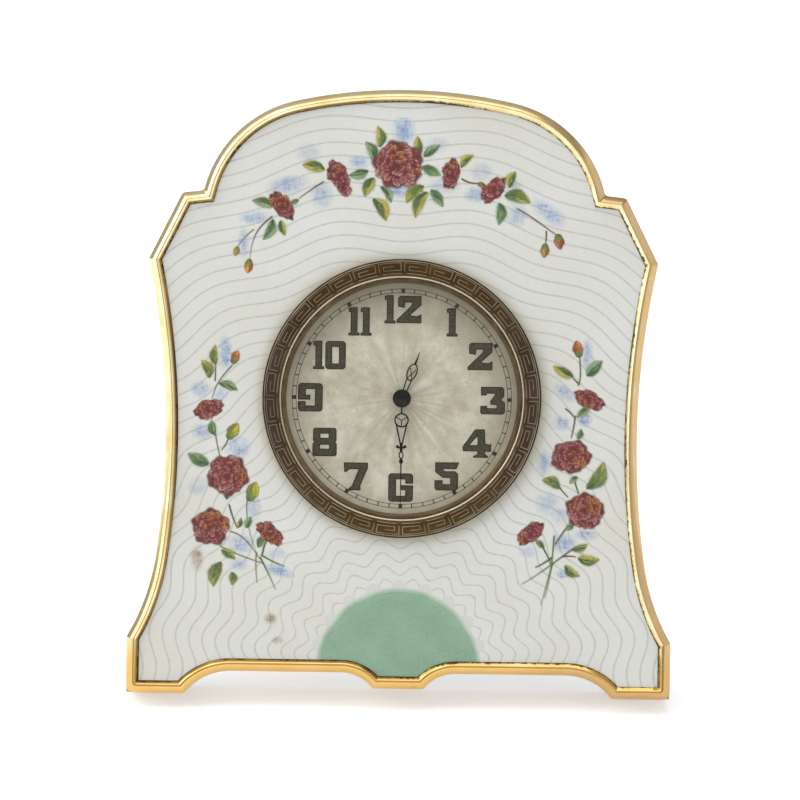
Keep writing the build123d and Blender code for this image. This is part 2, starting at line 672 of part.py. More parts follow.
# Outlines of the angular numerals, as shares of half a cell: the first is filled, the others are cut out
OUTLINES = {
    "2": (
        ((-0.73, 0.96), (0.99, 0.96), (0.99, 0.31), (0.09, -0.4), (0.66, -0.46), (1.0, -0.3), (1.0, -0.96), (-1.0, -0.96),
         (-1.0, -0.73), (0.17, 0.28), (0.24, 0.49), (-0.3, 0.49), (-0.35, 0.11), (-0.9, 0.19), (-0.9, 0.8)),
    ),
    "3": (
        ((-0.96, 0.97), (0.78, 0.97), (0.93, 0.8), (0.93, 0.3), (0.69, 0.07), (1.0, -0.15), (1.0, -0.83), (0.83, -0.97),
         (-0.85, -0.97), (-1.0, -0.85), (-1.0, -0.37), (-0.44, -0.37), (-0.44, -0.53), (0.32, -0.53), (0.32, -0.32),
         (-0.18, -0.28), (-0.22, -0.07), (0.21, 0.48), (-0.43, 0.5), (-0.51, 0.35), (-0.96, 0.35)),
    ),
    "4": (
        ((-0.18, 1.0), (0.61, 1.0), (0.66, 0.02), (1.0, -0.07), (1.15, 0.08), (1.13, -0.58), (0.66, -0.56), (0.66, -0.74),
         (0.89, -0.9), (0.89, -1.0), (-0.32, -1.0), (-0.32, -0.88), (0.02, -0.74), (0.02, -0.56), (-1.15, -0.56),
         (-1.18, -0.23)),
        ((0.02, 0.49), (0.02, -0.11), (-0.6, -0.11)),
    ),
    "5": (
        ((-0.95, 0.98), (1.0, 0.98), (0.77, 0.5), (-0.33, 0.5), (-0.17, 0.36), (0.66, 0.36), (0.91, 0.17), (0.91, -0.85),
         (0.74, -1.0), (-0.82, -1.0), (-0.99, -0.85), (-0.99, -0.28), (-0.33, -0.28), (-0.33, -0.55), (0.27, -0.55),
         (0.27, -0.12), (-0.33, -0.12), (-0.95, 0.29)),
    ),
    "7": (
        ((-0.98, 0.99), (0.98, 0.99), (0.98, 0.58), (0.4, -0.62), (0.42, -0.97), (-0.59, -0.97), (-0.54, -0.81),
         (-0.29, -0.62), (0.23, 0.51), (-0.48, 0.51), (-0.64, 0.37), (-0.92, 0.27)),
    ),
    "8": (
        ((-0.82, 1.0), (0.82, 1.0), (0.95, 0.88), (0.95, 0.12), (0.86, 0.0), (0.98, -0.12), (0.98, -0.88), (0.85, -1.0),
         (-0.85, -1.0), (-0.98, -0.88), (-0.98, -0.12), (-0.86, 0.0), (-0.95, 0.12), (-0.95, 0.88)),
        ((-0.34, 0.3), (0.3, 0.3), (0.3, 0.58), (-0.34, 0.58)),
        ((-0.37, -0.46), (0.35, -0.46), (0.35, -0.2), (-0.37, -0.2)),
    ),
}

# Small steps from the even ring, as measured on the dial
NUMERAL_STEPS = {
    1: (0.8, -0.05), 2: (0.1, -0.25), 3: (0.3, -0.15), 4: (-0.2, 0.1), 5: (0.25, 0.0), 7: (-0.1, -0.25),
    8: (0.1, 0.0), 9: (-0.4, 0.0), 10: (0.7, -0.35), 11: (0.3, -0.1),
}


def one_digit(digit):
    """Sketch of one digit, centred on its cell."""
    with BuildSketch() as glyph:
        if digit in OUTLINES:
            for number, outline in enumerate(OUTLINES[digit]):
                with BuildLine():
                    Polyline(*[(half_x * x, half_y * y) for x, y in outline], close=True)
                make_face(mode=Mode.SUBTRACT if number else Mode.ADD)
        elif digit == "0":
            RectangleRounded(ZERO_WIDTH, NUMERAL_HEIGHT, NUMERAL_ROUND)
            Rectangle(ZERO_WIDTH - 2 * NUMERAL_STEM, NUMERAL_HEIGHT - 2 * NUMERAL_BAR, mode=Mode.SUBTRACT)
        else:
            for stroke in DIGITS[digit]:
                place, size = STROKES[stroke]
                with Locations(place):
                    Rectangle(*size)
            if digit != "1":
                RectangleRounded(NUMERAL_WIDTH, NUMERAL_HEIGHT, NUMERAL_ROUND, mode=Mode.INTERSECT)
    return glyph.sketch


def numeral(text):
    """Sketch of one plain numeral, centred on its own width."""
    gap = NUMERAL_BAR * 0.15
    width_of = {"1": NUMERAL_STEM * 1.6, "0": ZERO_WIDTH}
    widths = [width_of.get(digit, NUMERAL_WIDTH) for digit in text]
    x = -(sum(widths) + gap * (len(text) - 1)) / 2
    glyphs = [one_digit(digit) for digit in text]
    with BuildSketch() as figure:
        for glyph, width in zip(glyphs, widths):
            with Locations((x + width / 2, 0)):
                add(glyph)
            x = x + width + gap
    return figure.sketch


# Made before the part, so that they don't join it
NUMERALS = {hour: numeral(str(hour)) for hour in range(1, 13)}

with BuildPart() as dial_numerals:
    with BuildSketch(dial_at(DIAL_FRONT)):
        for hour in range(1, 13):
            ring_x, ring_y = polar(CENTRE, NUMERAL_RING, 90 - 30 * hour)
            step_x, step_y = NUMERAL_STEPS.get(hour, (0.0, 0.0))
            with Locations((ring_x + step_x, ring_y + step_y)):
                add(NUMERALS[hour])
    extrude(amount=NUMERAL_RISE)
keep(dial_numerals, "dial_numerals")

with BuildPart() as movement_drum:
    disc([CENTRE], DRUM_R, CASE_REAR, PANEL_REAR)
    disc([CENTRE], NECK_R + SEAT, -NECK_LENGTH - AIR, PANEL_REAR, Mode.SUBTRACT)
    disc([CENTRE], MOVEMENT_R + RUN, PLATE_REAR, PANEL_REAR, Mode.SUBTRACT)
    disc([CENTRE], DRUM_BORE, CASE_REAR, PANEL_REAR, Mode.SUBTRACT)
    disc([CENTRE], COVER_R + SEAT, CASE_REAR, COVER_FRONT, Mode.SUBTRACT)
keep(movement_drum, "movement_drum")

with BuildPart() as rear_cover:
    disc([CENTRE], COVER_R, CASE_REAR, COVER_FRONT)
    disc([CENTRE], SETTING_R + 2 * AIR, CASE_REAR, COVER_FRONT, Mode.SUBTRACT)
    disc([BARREL], BARREL_ARBOR_R + 2 * AIR, CASE_REAR, COVER_FRONT, Mode.SUBTRACT)
    with BuildSketch(dial_at(CASE_REAR)):
        with BuildLine() as swing:
            slot_start = INDEX_ANGLE - INDEX_SWING - INDEX_SPARE
            CenterArc(BALANCE, INDEX_REACH, slot_start, 2 * (INDEX_SWING + INDEX_SPARE))
        trace(swing.line, line_width=2 * (INDEX_PIN_R + AIR))
        slot_half = INDEX_SWING + INDEX_SPARE
        slot_ends = [polar(BALANCE, INDEX_REACH, INDEX_ANGLE + s * slot_half) for s in (-1, 1)]
        with Locations(slot_ends):
            Circle(INDEX_PIN_R + AIR)
    extrude(amount=COVER_THICK, mode=Mode.SUBTRACT)
keep(rear_cover, "rear_cover")

# Plates of the movement
train_places = [THIRD, FOURTH, ESCAPE]
lower_jewels = train_places + [LEVER, BALANCE]

with BuildPart() as main_plate:
    disc([CENTRE], MOVEMENT_R, PLATE_REAR, DIAL_REAR)
    disc([CENTRE], DIAL_FOOT_RING + 2 * DIAL_FOOT_R + AIR, PLATE_FRONT, DIAL_REAR, Mode.SUBTRACT)
    disc([MINUTE_WHEEL], MINUTE_POST_R, PLATE_FRONT, DIAL_REAR - AIR)
    disc(DIAL_FEET, DIAL_FOOT_R + SEAT, PLATE_REAR, PLATE_FRONT, Mode.SUBTRACT)
    disc([CENTRE], CENTRE_TUBE_R + RUN, PLATE_REAR, PLATE_FRONT, Mode.SUBTRACT)
    disc([BARREL], BARREL_ARBOR_R + RUN, PLATE_REAR, PLATE_FRONT, Mode.SUBTRACT)
    disc(lower_jewels, JEWEL_R + SEAT, PLATE_REAR, PLATE_FRONT, Mode.SUBTRACT)
keep(main_plate, "main_plate")

with BuildPart() as pillars:
    disc(PILLARS, PILLAR_R, BRIDGE_FRONT, PLATE_REAR)
    disc(PILLARS, SCREW_R + SEAT, BRIDGE_FRONT, BRIDGE_FRONT + TRAIN_SPACE / 2, Mode.SUBTRACT)
keep(pillars, "pillars")

with BuildPart() as train_bridge:
    disc([CENTRE], DRUM_BORE - AIR, BRIDGE_REAR, BRIDGE_FRONT)
    disc([BALANCE], COCK_WINDOW_R, BRIDGE_REAR, BRIDGE_FRONT, Mode.SUBTRACT)
    bar(BALANCE, COCK_FOOT, COCK_WIDTH + 4 * AIR, BRIDGE_REAR, BRIDGE_FRONT, Mode.SUBTRACT)
    disc([CENTRE], CENTRE_TUBE_R + RUN, BRIDGE_REAR, BRIDGE_FRONT, Mode.SUBTRACT)
    disc([BARREL], BARREL_ARBOR_R + RUN, BRIDGE_REAR, BRIDGE_FRONT, Mode.SUBTRACT)
    disc(train_places, JEWEL_R + SEAT, BRIDGE_REAR, BRIDGE_FRONT, Mode.SUBTRACT)
    disc(PILLARS, SCREW_R + SEAT, BRIDGE_REAR, BRIDGE_FRONT, Mode.SUBTRACT)
    disc([CLICK], CLICK_POST_R, BRIDGE_REAR - 2 * RATCHET_THICK - 2 * AIR, BRIDGE_REAR)
keep(train_bridge, "train_bridge")

with BuildPart() as bridge_screws:
    shank_end = BRIDGE_FRONT + TRAIN_SPACE / 2 - AIR
    slotted_screws(PILLARS, shank_end, BRIDGE_REAR, SCREW_HEAD_R, SCREW_R, SCREW_HEAD)
keep(bridge_screws, "bridge_screws")

lever_cock_front = PLATE_REAR - LEVER_COCK_STEP
lever_cock_rear = lever_cock_front - LEVER_COCK_THICK

with BuildPart() as lever_cock:
    bar(LEVER, LEVER_FOOT, LEVER_COCK_WIDTH, lever_cock_rear, lever_cock_front)
    disc([LEVER_FOOT], LEVER_COCK_WIDTH / 2 - AIR, lever_cock_front, PLATE_REAR)
    disc([LEVER], JEWEL_R + SEAT, lever_cock_rear, lever_cock_front, Mode.SUBTRACT)
keep(lever_cock, "lever_cock")

balance_rear = BRIDGE_FRONT + BALANCE_STEP
hairspring_rear = BRIDGE_FRONT + (BALANCE_STEP - HAIRSPRING_HEIGHT) / 2
hairspring_end = HAIRSPRING_INNER + HAIRSPRING_TURNS * HAIRSPRING_PITCH
STUD = (BALANCE[0] + hairspring_end + IMPULSE_R + HAIRSPRING_THICK, BALANCE[1])

with BuildPart() as balance_cock:
    bar(BALANCE, COCK_FOOT, COCK_WIDTH, BRIDGE_REAR, BRIDGE_FRONT)
    bar(BALANCE, STUD, COCK_WIDTH / 2, BRIDGE_REAR, BRIDGE_FRONT)
    disc([STUD], IMPULSE_R, hairspring_rear, BRIDGE_FRONT)
    disc([COCK_FOOT], COCK_WIDTH / 2 - AIR, BRIDGE_FRONT, PLATE_REAR)
    disc([BALANCE], INDEX_BOSS_R, BRIDGE_REAR - INDEX_THICK - AIR, BRIDGE_REAR)
    disc([BALANCE], ARBOR_R + RUN, BRIDGE_REAR, BRIDGE_FRONT, Mode.SUBTRACT)
    disc([COCK_FOOT], SCREW_R + SEAT, BRIDGE_REAR, BRIDGE_FRONT + TRAIN_SPACE / 2, Mode.SUBTRACT)
keep(balance_cock, "balance_cock")

with BuildPart() as cock_screw:
    slotted_screws([COCK_FOOT], shank_end, BRIDGE_REAR, SCREW_HEAD_R, SCREW_R, SCREW_HEAD)
keep(cock_screw, "cock_screw")

with BuildPart() as jewels:
    disc(lower_jewels, JEWEL_R, PLATE_REAR, PLATE_FRONT)
    disc(lower_jewels, ARBOR_R + RUN, PLATE_REAR, PLATE_FRONT, Mode.SUBTRACT)
    disc(train_places, JEWEL_R, BRIDGE_REAR, BRIDGE_FRONT)
    disc(train_places, ARBOR_R + RUN, BRIDGE_REAR, BRIDGE_FRONT, Mode.SUBTRACT)
    disc([LEVER], JEWEL_R, lever_cock_rear, lever_cock_front)
    disc([LEVER], ARBOR_R + RUN, lever_cock_rear, lever_cock_front, Mode.SUBTRACT)
keep(jewels, "jewels")

# Barrel, mainspring and winding work, on the barrel arbor
barrel_front = PLATE_REAR - BARREL_STEP
barrel_rear = BRIDGE_FRONT + CENTRE_WHEEL_STEP
barrel_root = BARREL_TEETH * BARREL_MODULE / 2 - 1.2 * BARREL_MODULE
tooth_rear = barrel_rear + LID_THICK
tooth_front = tooth_rear + BARREL_TOOTH_LENGTH
spring_room_r = barrel_root - BARREL_WALL
barrel_first = 0.0

with BuildPart() as barrel_drum:
    disc([BARREL], barrel_root - SEAT, tooth_rear, barrel_front)
    toothed(BARREL, BARREL_TEETH, BARREL_MODULE, barrel_first, tooth_rear, tooth_front)
    disc([BARREL], spring_room_r, tooth_rear, barrel_front - BARREL_FLOOR, Mode.SUBTRACT)
    disc([BARREL], BARREL_ARBOR_R + RUN, tooth_rear, barrel_front, Mode.SUBTRACT)
keep(barrel_drum, "barrel_drum")

with BuildPart() as barrel_lid:
    disc([BARREL], spring_room_r + LID_LAP, barrel_rear, tooth_rear)
    disc([BARREL], BARREL_ARBOR_R + RUN, barrel_rear, tooth_rear, Mode.SUBTRACT)
keep(barrel_lid, "barrel_lid")

spring_front = barrel_front - BARREL_FLOOR - AIR
spring_rear = tooth_rear + AIR
mainspring_inner = SPRING_HUB_R + 3 * AIR
mainspring_pitch = (spring_room_r - 2 * AIR - mainspring_inner) / (MAINSPRING_TURNS + 0.25)

with BuildPart() as mainspring:
    spiral(
        BARREL,
        mainspring_inner,
        mainspring_pitch,
        MAINSPRING_TURNS,
        MAINSPRING_THICK,
        spring_rear,
        spring_front,
    )
keep(mainspring, "mainspring")

ratchet_front = BRIDGE_REAR - AIR
ratchet_rear = ratchet_front - RATCHET_THICK
key_front = CASE_REAR - KEY_GAP
key_rear = key_front - KEY_HUB_LENGTH
key_level = (key_front + key_rear) / 2

with BuildPart() as barrel_arbor:
    disc([BARREL], BARREL_ARBOR_R, key_level + KEY_PIN_R + AIR, PLATE_FRONT + AIR)
    disc([BARREL], SPRING_HUB_R, spring_rear, spring_front)
keep(barrel_arbor, "barrel_arbor")

with BuildPart() as ratchet_wheel:
    saw_wheel(BARREL, RATCHET_TEETH, RATCHET_R, RATCHET_TOOTH, ratchet_rear, ratchet_front)
    disc([BARREL], BARREL_ARBOR_R + SEAT, ratchet_rear, ratchet_front, Mode.SUBTRACT)
keep(ratchet_wheel, "ratchet_wheel")

with BuildPart() as click:
    bar(CLICK, CLICK_TIP_POINT, CLICK_WIDTH, ratchet_rear, ratchet_front)
    disc([CLICK], CLICK_BOSS_R, ratchet_rear, ratchet_front)
    disc([CLICK], CLICK_POST_R + RUN, ratchet_rear, ratchet_front, Mode.SUBTRACT)
keep(click, "click")

SPRING_FOOT = (CLICK[0] - CLICK_REACH - 2 * CLICK_BOSS_R, CLICK[1] + CLICK_TIP + CLICK_BOSS_R)
SPRING_END = (CLICK_TIP_POINT[0] + CLICK_REACH / 3, CLICK_TIP_POINT[1] + CLICK_REACH * 0.3)

with BuildPart() as click_spring:
    bar(SPRING_FOOT, SPRING_END, CLICK_SPRING_THICK, ratchet_rear, ratchet_front)
    disc([SPRING_FOOT], CLICK_POST_R, ratchet_rear, BRIDGE_REAR)
keep(click_spring, "click_spring")

with BuildPart() as key_hub:
    disc([BARREL], KEY_HUB_R, key_rear, key_front)
    with BuildSketch(dial_at(key_rear)):
        with Locations(BARREL):
            Rectangle(KEY_HUB_WIDTH, 2 * KEY_HUB_R)
    extrude(amount=KEY_HUB_LENGTH, mode=Mode.INTERSECT)
    disc([BARREL], BARREL_ARBOR_R + SEAT, key_level + KEY_PIN_R + AIR, key_front, Mode.SUBTRACT)
    with BuildSketch(Plane(DIAL.from_local_coords((*BARREL, key_level)), x_dir=(0, 1, 0), z_dir=(1, 0, 0))):
        Circle(KEY_PIN_R + SEAT)
    extrude(amount=KEY_HUB_R, both=True, mode=Mode.SUBTRACT)
keep(key_hub, "key_hub")

KEY_CROSS = Plane(DIAL.from_local_coords((*BARREL, key_level)), x_dir=(0, 1, 0), z_dir=(1, 0, 0))
wing_inner = KEY_HUB_WIDTH / 2 + AIR / 2
key_pin_half = wing_inner + KEY_WING_THICK

with BuildPart() as key_pin:
    with BuildSketch(KEY_CROSS):
        Circle(KEY_PIN_R)
    extrude(amount=key_pin_half, both=True)
keep(key_pin, "key_pin")

with BuildPart() as key_wing:
    with BuildSketch(dial_at(key_level - KEY_WING_THICK / 2)):
        with Locations((BARREL[0], BARREL[1] + KEY_WING_REACH / 2)):
            Rectangle(2 * key_pin_half, KEY_WING_REACH)
        lobe_x = KEY_WING_HALF - KEY_LOBE_R
        lobe_y = KEY_WING_REACH - KEY_LOBE_R
        with Locations([(BARREL[0] + side * lobe_x, BARREL[1] + lobe_y) for side in (-1, 1)]):
            Circle(KEY_LOBE_R)
        with Locations((BARREL[0], BARREL[1] + KEY_NOTCH / 2)):
            Rectangle(2 * wing_inner, KEY_NOTCH, mode=Mode.SUBTRACT)
    extrude(amount=KEY_WING_THICK)
    for side in (-1, 1):
        ear_middle = DIAL.from_local_coords((BARREL[0] + side * wing_inner, BARREL[1], key_level))
        with BuildSketch(Plane(ear_middle, x_dir=(0, 1, 0), z_dir=(side, 0, 0))):
            Circle(2 * KEY_PIN_R)
        extrude(amount=KEY_WING_THICK)
    with BuildSketch(KEY_CROSS):
        Circle(KEY_PIN_R + RUN)
    extrude(amount=2 * KEY_WING_HALF, both=True, mode=Mode.SUBTRACT)
keep(key_wing, "key_wing")

# Going train: each wheel and its pinion turn on one arbor
arbor_front = PLATE_FRONT - AIR
arbor_rear = BRIDGE_REAR + AIR
centre_level = PLATE_REAR - CENTRE_WHEEL_STEP
third_level = PLATE_REAR - THIRD_WHEEL_STEP
fourth_level = PLATE_REAR - FOURTH_WHEEL_STEP
escape_level = PLATE_REAR - ESCAPE_STEP
centre_first = meshed(BARREL, BARREL_TEETH, barrel_first, CENTRE, CENTRE_LEAVES)
third_first = meshed(CENTRE, CENTRE_TEETH, centre_first, THIRD, THIRD_LEAVES)
fourth_first = meshed(THIRD, THIRD_TEETH, third_first, FOURTH, FOURTH_LEAVES)
escape_first = meshed(FOURTH, FOURTH_TEETH, fourth_first, ESCAPE, ESCAPE_LEAVES)


def pinion(place, leaves, module, first, wheel_front):
    """Adds a pinion that meshes with a wheel whose front is at the given level."""
    spare = (LEAF_LENGTH - WHEEL_THICK) / 2
    toothed(place, leaves, module, first, wheel_front - WHEEL_THICK - spare, wheel_front + spare)


with BuildPart() as centre_wheel:
    disc([CENTRE], CENTRE_TUBE_R, BRIDGE_REAR + AIR, PLATE_FRONT - RUN)
    toothed(CENTRE, CENTRE_TEETH, CENTRE_MODULE, centre_first, centre_level - WHEEL_THICK, centre_level)
    toothed(CENTRE, CENTRE_LEAVES, BARREL_MODULE, centre_first, tooth_rear - RUN, tooth_front + RUN)
    disc([CENTRE], SETTING_R + RUN, BRIDGE_REAR, PLATE_FRONT, Mode.SUBTRACT)
keep(centre_wheel, "centre_wheel")

with BuildPart() as third_wheel:
    disc([THIRD], ARBOR_R, arbor_rear, arbor_front)
    pinion(THIRD, THIRD_LEAVES, CENTRE_MODULE, third_first, centre_level)
    toothed(THIRD, THIRD_TEETH, THIRD_MODULE, third_first, third_level - WHEEL_THICK, third_level)
keep(third_wheel, "third_wheel")

with BuildPart() as fourth_wheel:
    disc([FOURTH], ARBOR_R, arbor_rear, arbor_front)
    pinion(FOURTH, FOURTH_LEAVES, THIRD_MODULE, fourth_first, third_level)
    toothed(FOURTH, FOURTH_TEETH, FOURTH_MODULE, fourth_first, fourth_level - WHEEL_THICK, fourth_level)
keep(fourth_wheel, "fourth_wheel")

with BuildPart() as escape_wheel:
    disc([ESCAPE], ARBOR_R, arbor_rear, arbor_front)
    pinion(ESCAPE, ESCAPE_LEAVES, FOURTH_MODULE, escape_first, fourth_level)
    saw_wheel(ESCAPE, ESCAPE_TEETH, ESCAPE_R, ESCAPE_TOOTH, escape_level - WHEEL_THICK, escape_level)
keep(escape_wheel, "escape_wheel")

# Lever and balance
STONES = [polar(ESCAPE, STONE_R, LEVER_ANGLE + side * STONE_ANGLE) for side in (-1, 1)]
FORK = polar(LEVER, BALANCE_REACH - FORK_GAP - LEVER_WIDTH / 2, LEVER_ANGLE)
lever_rear = escape_level - LEVER_THICK

with BuildPart() as lever:
    disc([LEVER], ARBOR_R, lever_cock_rear + RUN, arbor_front)
    disc([LEVER], LEVER_WIDTH, lever_rear, escape_level)
    bar(LEVER, FORK, LEVER_WIDTH, lever_rear, escape_level)
    with BuildSketch(dial_at(lever_rear)):
        with BuildLine() as arms:
            Polyline(STONES[0], LEVER, STONES[1])
        trace(arms.line, line_width=LEVER_WIDTH)
    extrude(amount=LEVER_THICK)
keep(lever, "lever")

with BuildPart() as balance_wheel:
    disc([BALANCE], BALANCE_R, balance_rear, balance_rear + BALANCE_THICK)
    disc([BALANCE], BALANCE_R - BALANCE_RIM, balance_rear, balance_rear + BALANCE_THICK, Mode.SUBTRACT)
    with BuildSketch(dial_at(balance_rear)):
        with Locations(BALANCE):
            Rectangle(BALANCE_ARM, 2 * BALANCE_R - BALANCE_RIM)
            Circle(ROLLER_R)
    extrude(amount=BALANCE_THICK / 2)
    disc([BALANCE], ARBOR_R + SEAT, balance_rear, balance_rear + BALANCE_THICK, Mode.SUBTRACT)
keep(balance_wheel, "balance_wheel")

roller_rear = lever_rear - AIR - ROLLER_THICK
IMPULSE = polar(BALANCE, IMPULSE_RADIUS, LEVER_ANGLE + 180)

with BuildPart() as balance_staff:
    disc([BALANCE], ARBOR_R, BRIDGE_REAR + AIR, arbor_front)
    disc([BALANCE], ROLLER_R, roller_rear, roller_rear + ROLLER_THICK)
    disc([IMPULSE], IMPULSE_R, roller_rear + ROLLER_THICK, escape_level)
    disc([BALANCE], COLLET_R, balance_rear - COLLET_R, balance_rear)
keep(balance_staff, "balance_staff")

with BuildPart() as hairspring:
    spiral(
        BALANCE,
        HAIRSPRING_INNER,
        HAIRSPRING_PITCH,
        HAIRSPRING_TURNS,
        HAIRSPRING_THICK,
        hairspring_rear,
        hairspring_rear + HAIRSPRING_HEIGHT,
    )
keep(hairspring, "hairspring")

index_front = BRIDGE_REAR - RUN
INDEX_PIN = polar(BALANCE, INDEX_REACH, INDEX_ANGLE)

with BuildPart() as regulator_index:
    disc([BALANCE], INDEX_BOSS_R + INDEX_RING, index_front - INDEX_THICK, index_front)
    bar(BALANCE, INDEX_PIN, 2 * INDEX_PIN_R, index_front - INDEX_THICK, index_front)
    disc([INDEX_PIN], INDEX_PIN_R, CASE_REAR - INDEX_PIN_PROUD, index_front)
    disc([BALANCE], INDEX_BOSS_R + RUN, index_front - INDEX_THICK, index_front, Mode.SUBTRACT)
keep(regulator_index, "regulator_index")

# Setting arbor, motion work and hands
minute_rear = PLATE_FRONT + AIR
hour_front = DIAL_REAR - AIR - RUN
cannon_first = 0.0
minute_first = meshed(CENTRE, CANNON_LEAVES, cannon_first, MINUTE_WHEEL, MINUTE_TEETH)
hour_first = meshed(MINUTE_WHEEL, MINUTE_LEAVES, minute_first, CENTRE, HOUR_TEETH)
leaf_front = hour_front - HOUR_WHEEL_THICK - AIR
knob_front = CASE_REAR - KNOB_GAP

with BuildPart() as setting_arbor:
    disc([CENTRE], SETTING_R, knob_front - KNOB_LENGTH, MINUTE_LEVEL + HAND_THICK / 2)
keep(setting_arbor, "setting_arbor")

with BuildPart() as cannon_pinion:
    toothed(CENTRE, CANNON_LEAVES, MOTION_MODULE, cannon_first, PLATE_FRONT + AIR / 2, leaf_front)
    disc([CENTRE], CANNON_R, leaf_front, MINUTE_LEVEL + HAND_THICK)
    disc([CENTRE], SETTING_R + SEAT, PLATE_FRONT, MINUTE_LEVEL + HAND_THICK, Mode.SUBTRACT)
keep(cannon_pinion, "cannon_pinion")

with BuildPart() as minute_wheel:
    toothed(MINUTE_WHEEL, MINUTE_TEETH, MOTION_MODULE, minute_first, minute_rear, minute_rear + MOTION_WHEEL)
    toothed(MINUTE_WHEEL, MINUTE_LEAVES, HOUR_MODULE, minute_first, minute_rear + MOTION_WHEEL, hour_front)
    disc([MINUTE_WHEEL], MINUTE_POST_R + RUN, minute_rear, hour_front, Mode.SUBTRACT)
keep(minute_wheel, "minute_wheel")

with BuildPart() as hour_wheel:
    toothed(CENTRE, HOUR_TEETH, HOUR_MODULE, hour_first, hour_front - HOUR_WHEEL_THICK, hour_front)
    disc([CENTRE], HOUR_PIPE_R, hour_front, HOUR_LEVEL + HAND_THICK)
    disc([CENTRE], CANNON_R + RUN, hour_front - HOUR_WHEEL_THICK, HOUR_LEVEL + HAND_THICK, Mode.SUBTRACT)
keep(hour_wheel, "hour_wheel")

with BuildPart() as hour_hand:
    with BuildSketch(hand_at(HOUR_LEVEL, HOUR_ANGLE)):
        Circle(HAND_BOSS_R)
        with BuildLine() as rails:
            Line((-0.3, HAND_BOSS_R - 0.2), (-0.42, HOUR_HAND * 0.42))
            Line((0.3, HAND_BOSS_R - 0.2), (0.42, HOUR_HAND * 0.42))
            Line((-0.42, HOUR_HAND * 0.42), (0.3, HOUR_HAND * 0.6))
            Line((0.42, HOUR_HAND * 0.42), (-0.3, HOUR_HAND * 0.6))
        trace(rails.line, line_width=0.2)
        with Locations((0, HOUR_HAND * 0.56)):
            Ellipse(0.85, HOUR_HAND * 0.18)
            Ellipse(0.64, HOUR_HAND * 0.155, mode=Mode.SUBTRACT)
        with BuildLine() as cross:
            Line((-0.42, HOUR_HAND * 0.42), (0.5, HOUR_HAND * 0.63))
            Line((0.42, HOUR_HAND * 0.42), (-0.5, HOUR_HAND * 0.63))
        trace(cross.line, line_width=0.14)
        with BuildLine():
            needle_y = HOUR_HAND * 0.72
            Polyline((-0.2, needle_y), (0.2, needle_y), (0.05, HOUR_HAND), (-0.05, HOUR_HAND), close=True)
        make_face()
        Circle(HOUR_PIPE_R + SEAT, mode=Mode.SUBTRACT)
    extrude(amount=HAND_THICK)
keep(hour_hand, "hour_hand")

MINUTE_HAND = SIGHT_R - MINUTE_TIP_GAP
RING_Y = MINUTE_HAND * 0.206
FLEUR_Y = MINUTE_HAND * 0.445
OVAL_Y = FLEUR_Y + OVAL_RISE
BEAD_Y = FLEUR_Y + BEAD_RISE
BLADE_Y = OVAL_Y + OVAL_LENGTH

with BuildPart() as minute_hand:
    with BuildSketch(hand_at(MINUTE_LEVEL, MINUTE_ANGLE)):
        with Locations((0, RING_Y)):
            Circle(1.2)
            Circle(0.96, mode=Mode.SUBTRACT)
            with PolarLocations(0.5, 3, start_angle=90):
                Rectangle(1.1, 0.15)
        with BuildLine() as stems:
            Line((0, HAND_BOSS_R - 0.2), (0, RING_Y - 1.0))
            Line((-0.85, RING_Y + 0.7), (-0.1, FLEUR_Y))
            Line((0.85, RING_Y + 0.7), (0.1, FLEUR_Y))
        trace(stems.line, line_width=0.24)
        with Locations((0, FLEUR_Y + 0.35)):
            Rectangle(1.3, 0.3)
            Ellipse(0.28, 0.8)
        with Locations((-0.62, FLEUR_Y + 0.2), (0.62, FLEUR_Y + 0.2)):
            Circle(0.26)
        with Locations((0, OVAL_Y)):
            Ellipse(0.42, 0.66)
            Ellipse(0.22, 0.42, mode=Mode.SUBTRACT)
        with Locations((0, BEAD_Y)):
            Ellipse(0.34, 0.42)
        with BuildLine():
            Polyline((-0.13, BLADE_Y), (0.13, BLADE_Y), (0.05, MINUTE_HAND), (-0.05, MINUTE_HAND), close=True)
        make_face()
        Circle(HAND_BOSS_R)
        Circle(CANNON_R + SEAT, mode=Mode.SUBTRACT)
    extrude(amount=HAND_THICK)
    with BuildSketch(PROFILE):
        with BuildLine():
            cap_base = MINUTE_LEVEL + HAND_THICK
            Polyline((0, cap_base + CAP_RISE), (0, cap_base), (HAND_BOSS_R - AIR, cap_base))
            TangentArc((0, cap_base + CAP_RISE), (HAND_BOSS_R - AIR, cap_base), tangent=(1, 0))
        make_face()
    revolve(axis=DIAL_AXIS)
keep(minute_hand, "minute_hand")

with BuildPart() as setting_knob:
    disc([CENTRE], KNOB_R, knob_front - KNOB_LENGTH, knob_front)
    flute_places = [polar(CENTRE, KNOB_R + FLUTE_R / 2, 360 * n / KNOB_FLUTES) for n in range(KNOB_FLUTES)]
    disc(flute_places, FLUTE_R, knob_front - KNOB_LENGTH, knob_front, Mode.SUBTRACT)
    disc([CENTRE], SETTING_R + SEAT, knob_front - KNOB_LENGTH, knob_front, Mode.SUBTRACT)
keep(setting_knob, "setting_knob")

# Leg hinge on the back and the folding leg
knuckle_start = LEG_KNUCKLE / 2 + AIR
knuckle_end = knuckle_start + SIDE_KNUCKLE
hinge_plate_top = HINGE_HEIGHT + HINGE_PLATE_HEIGHT

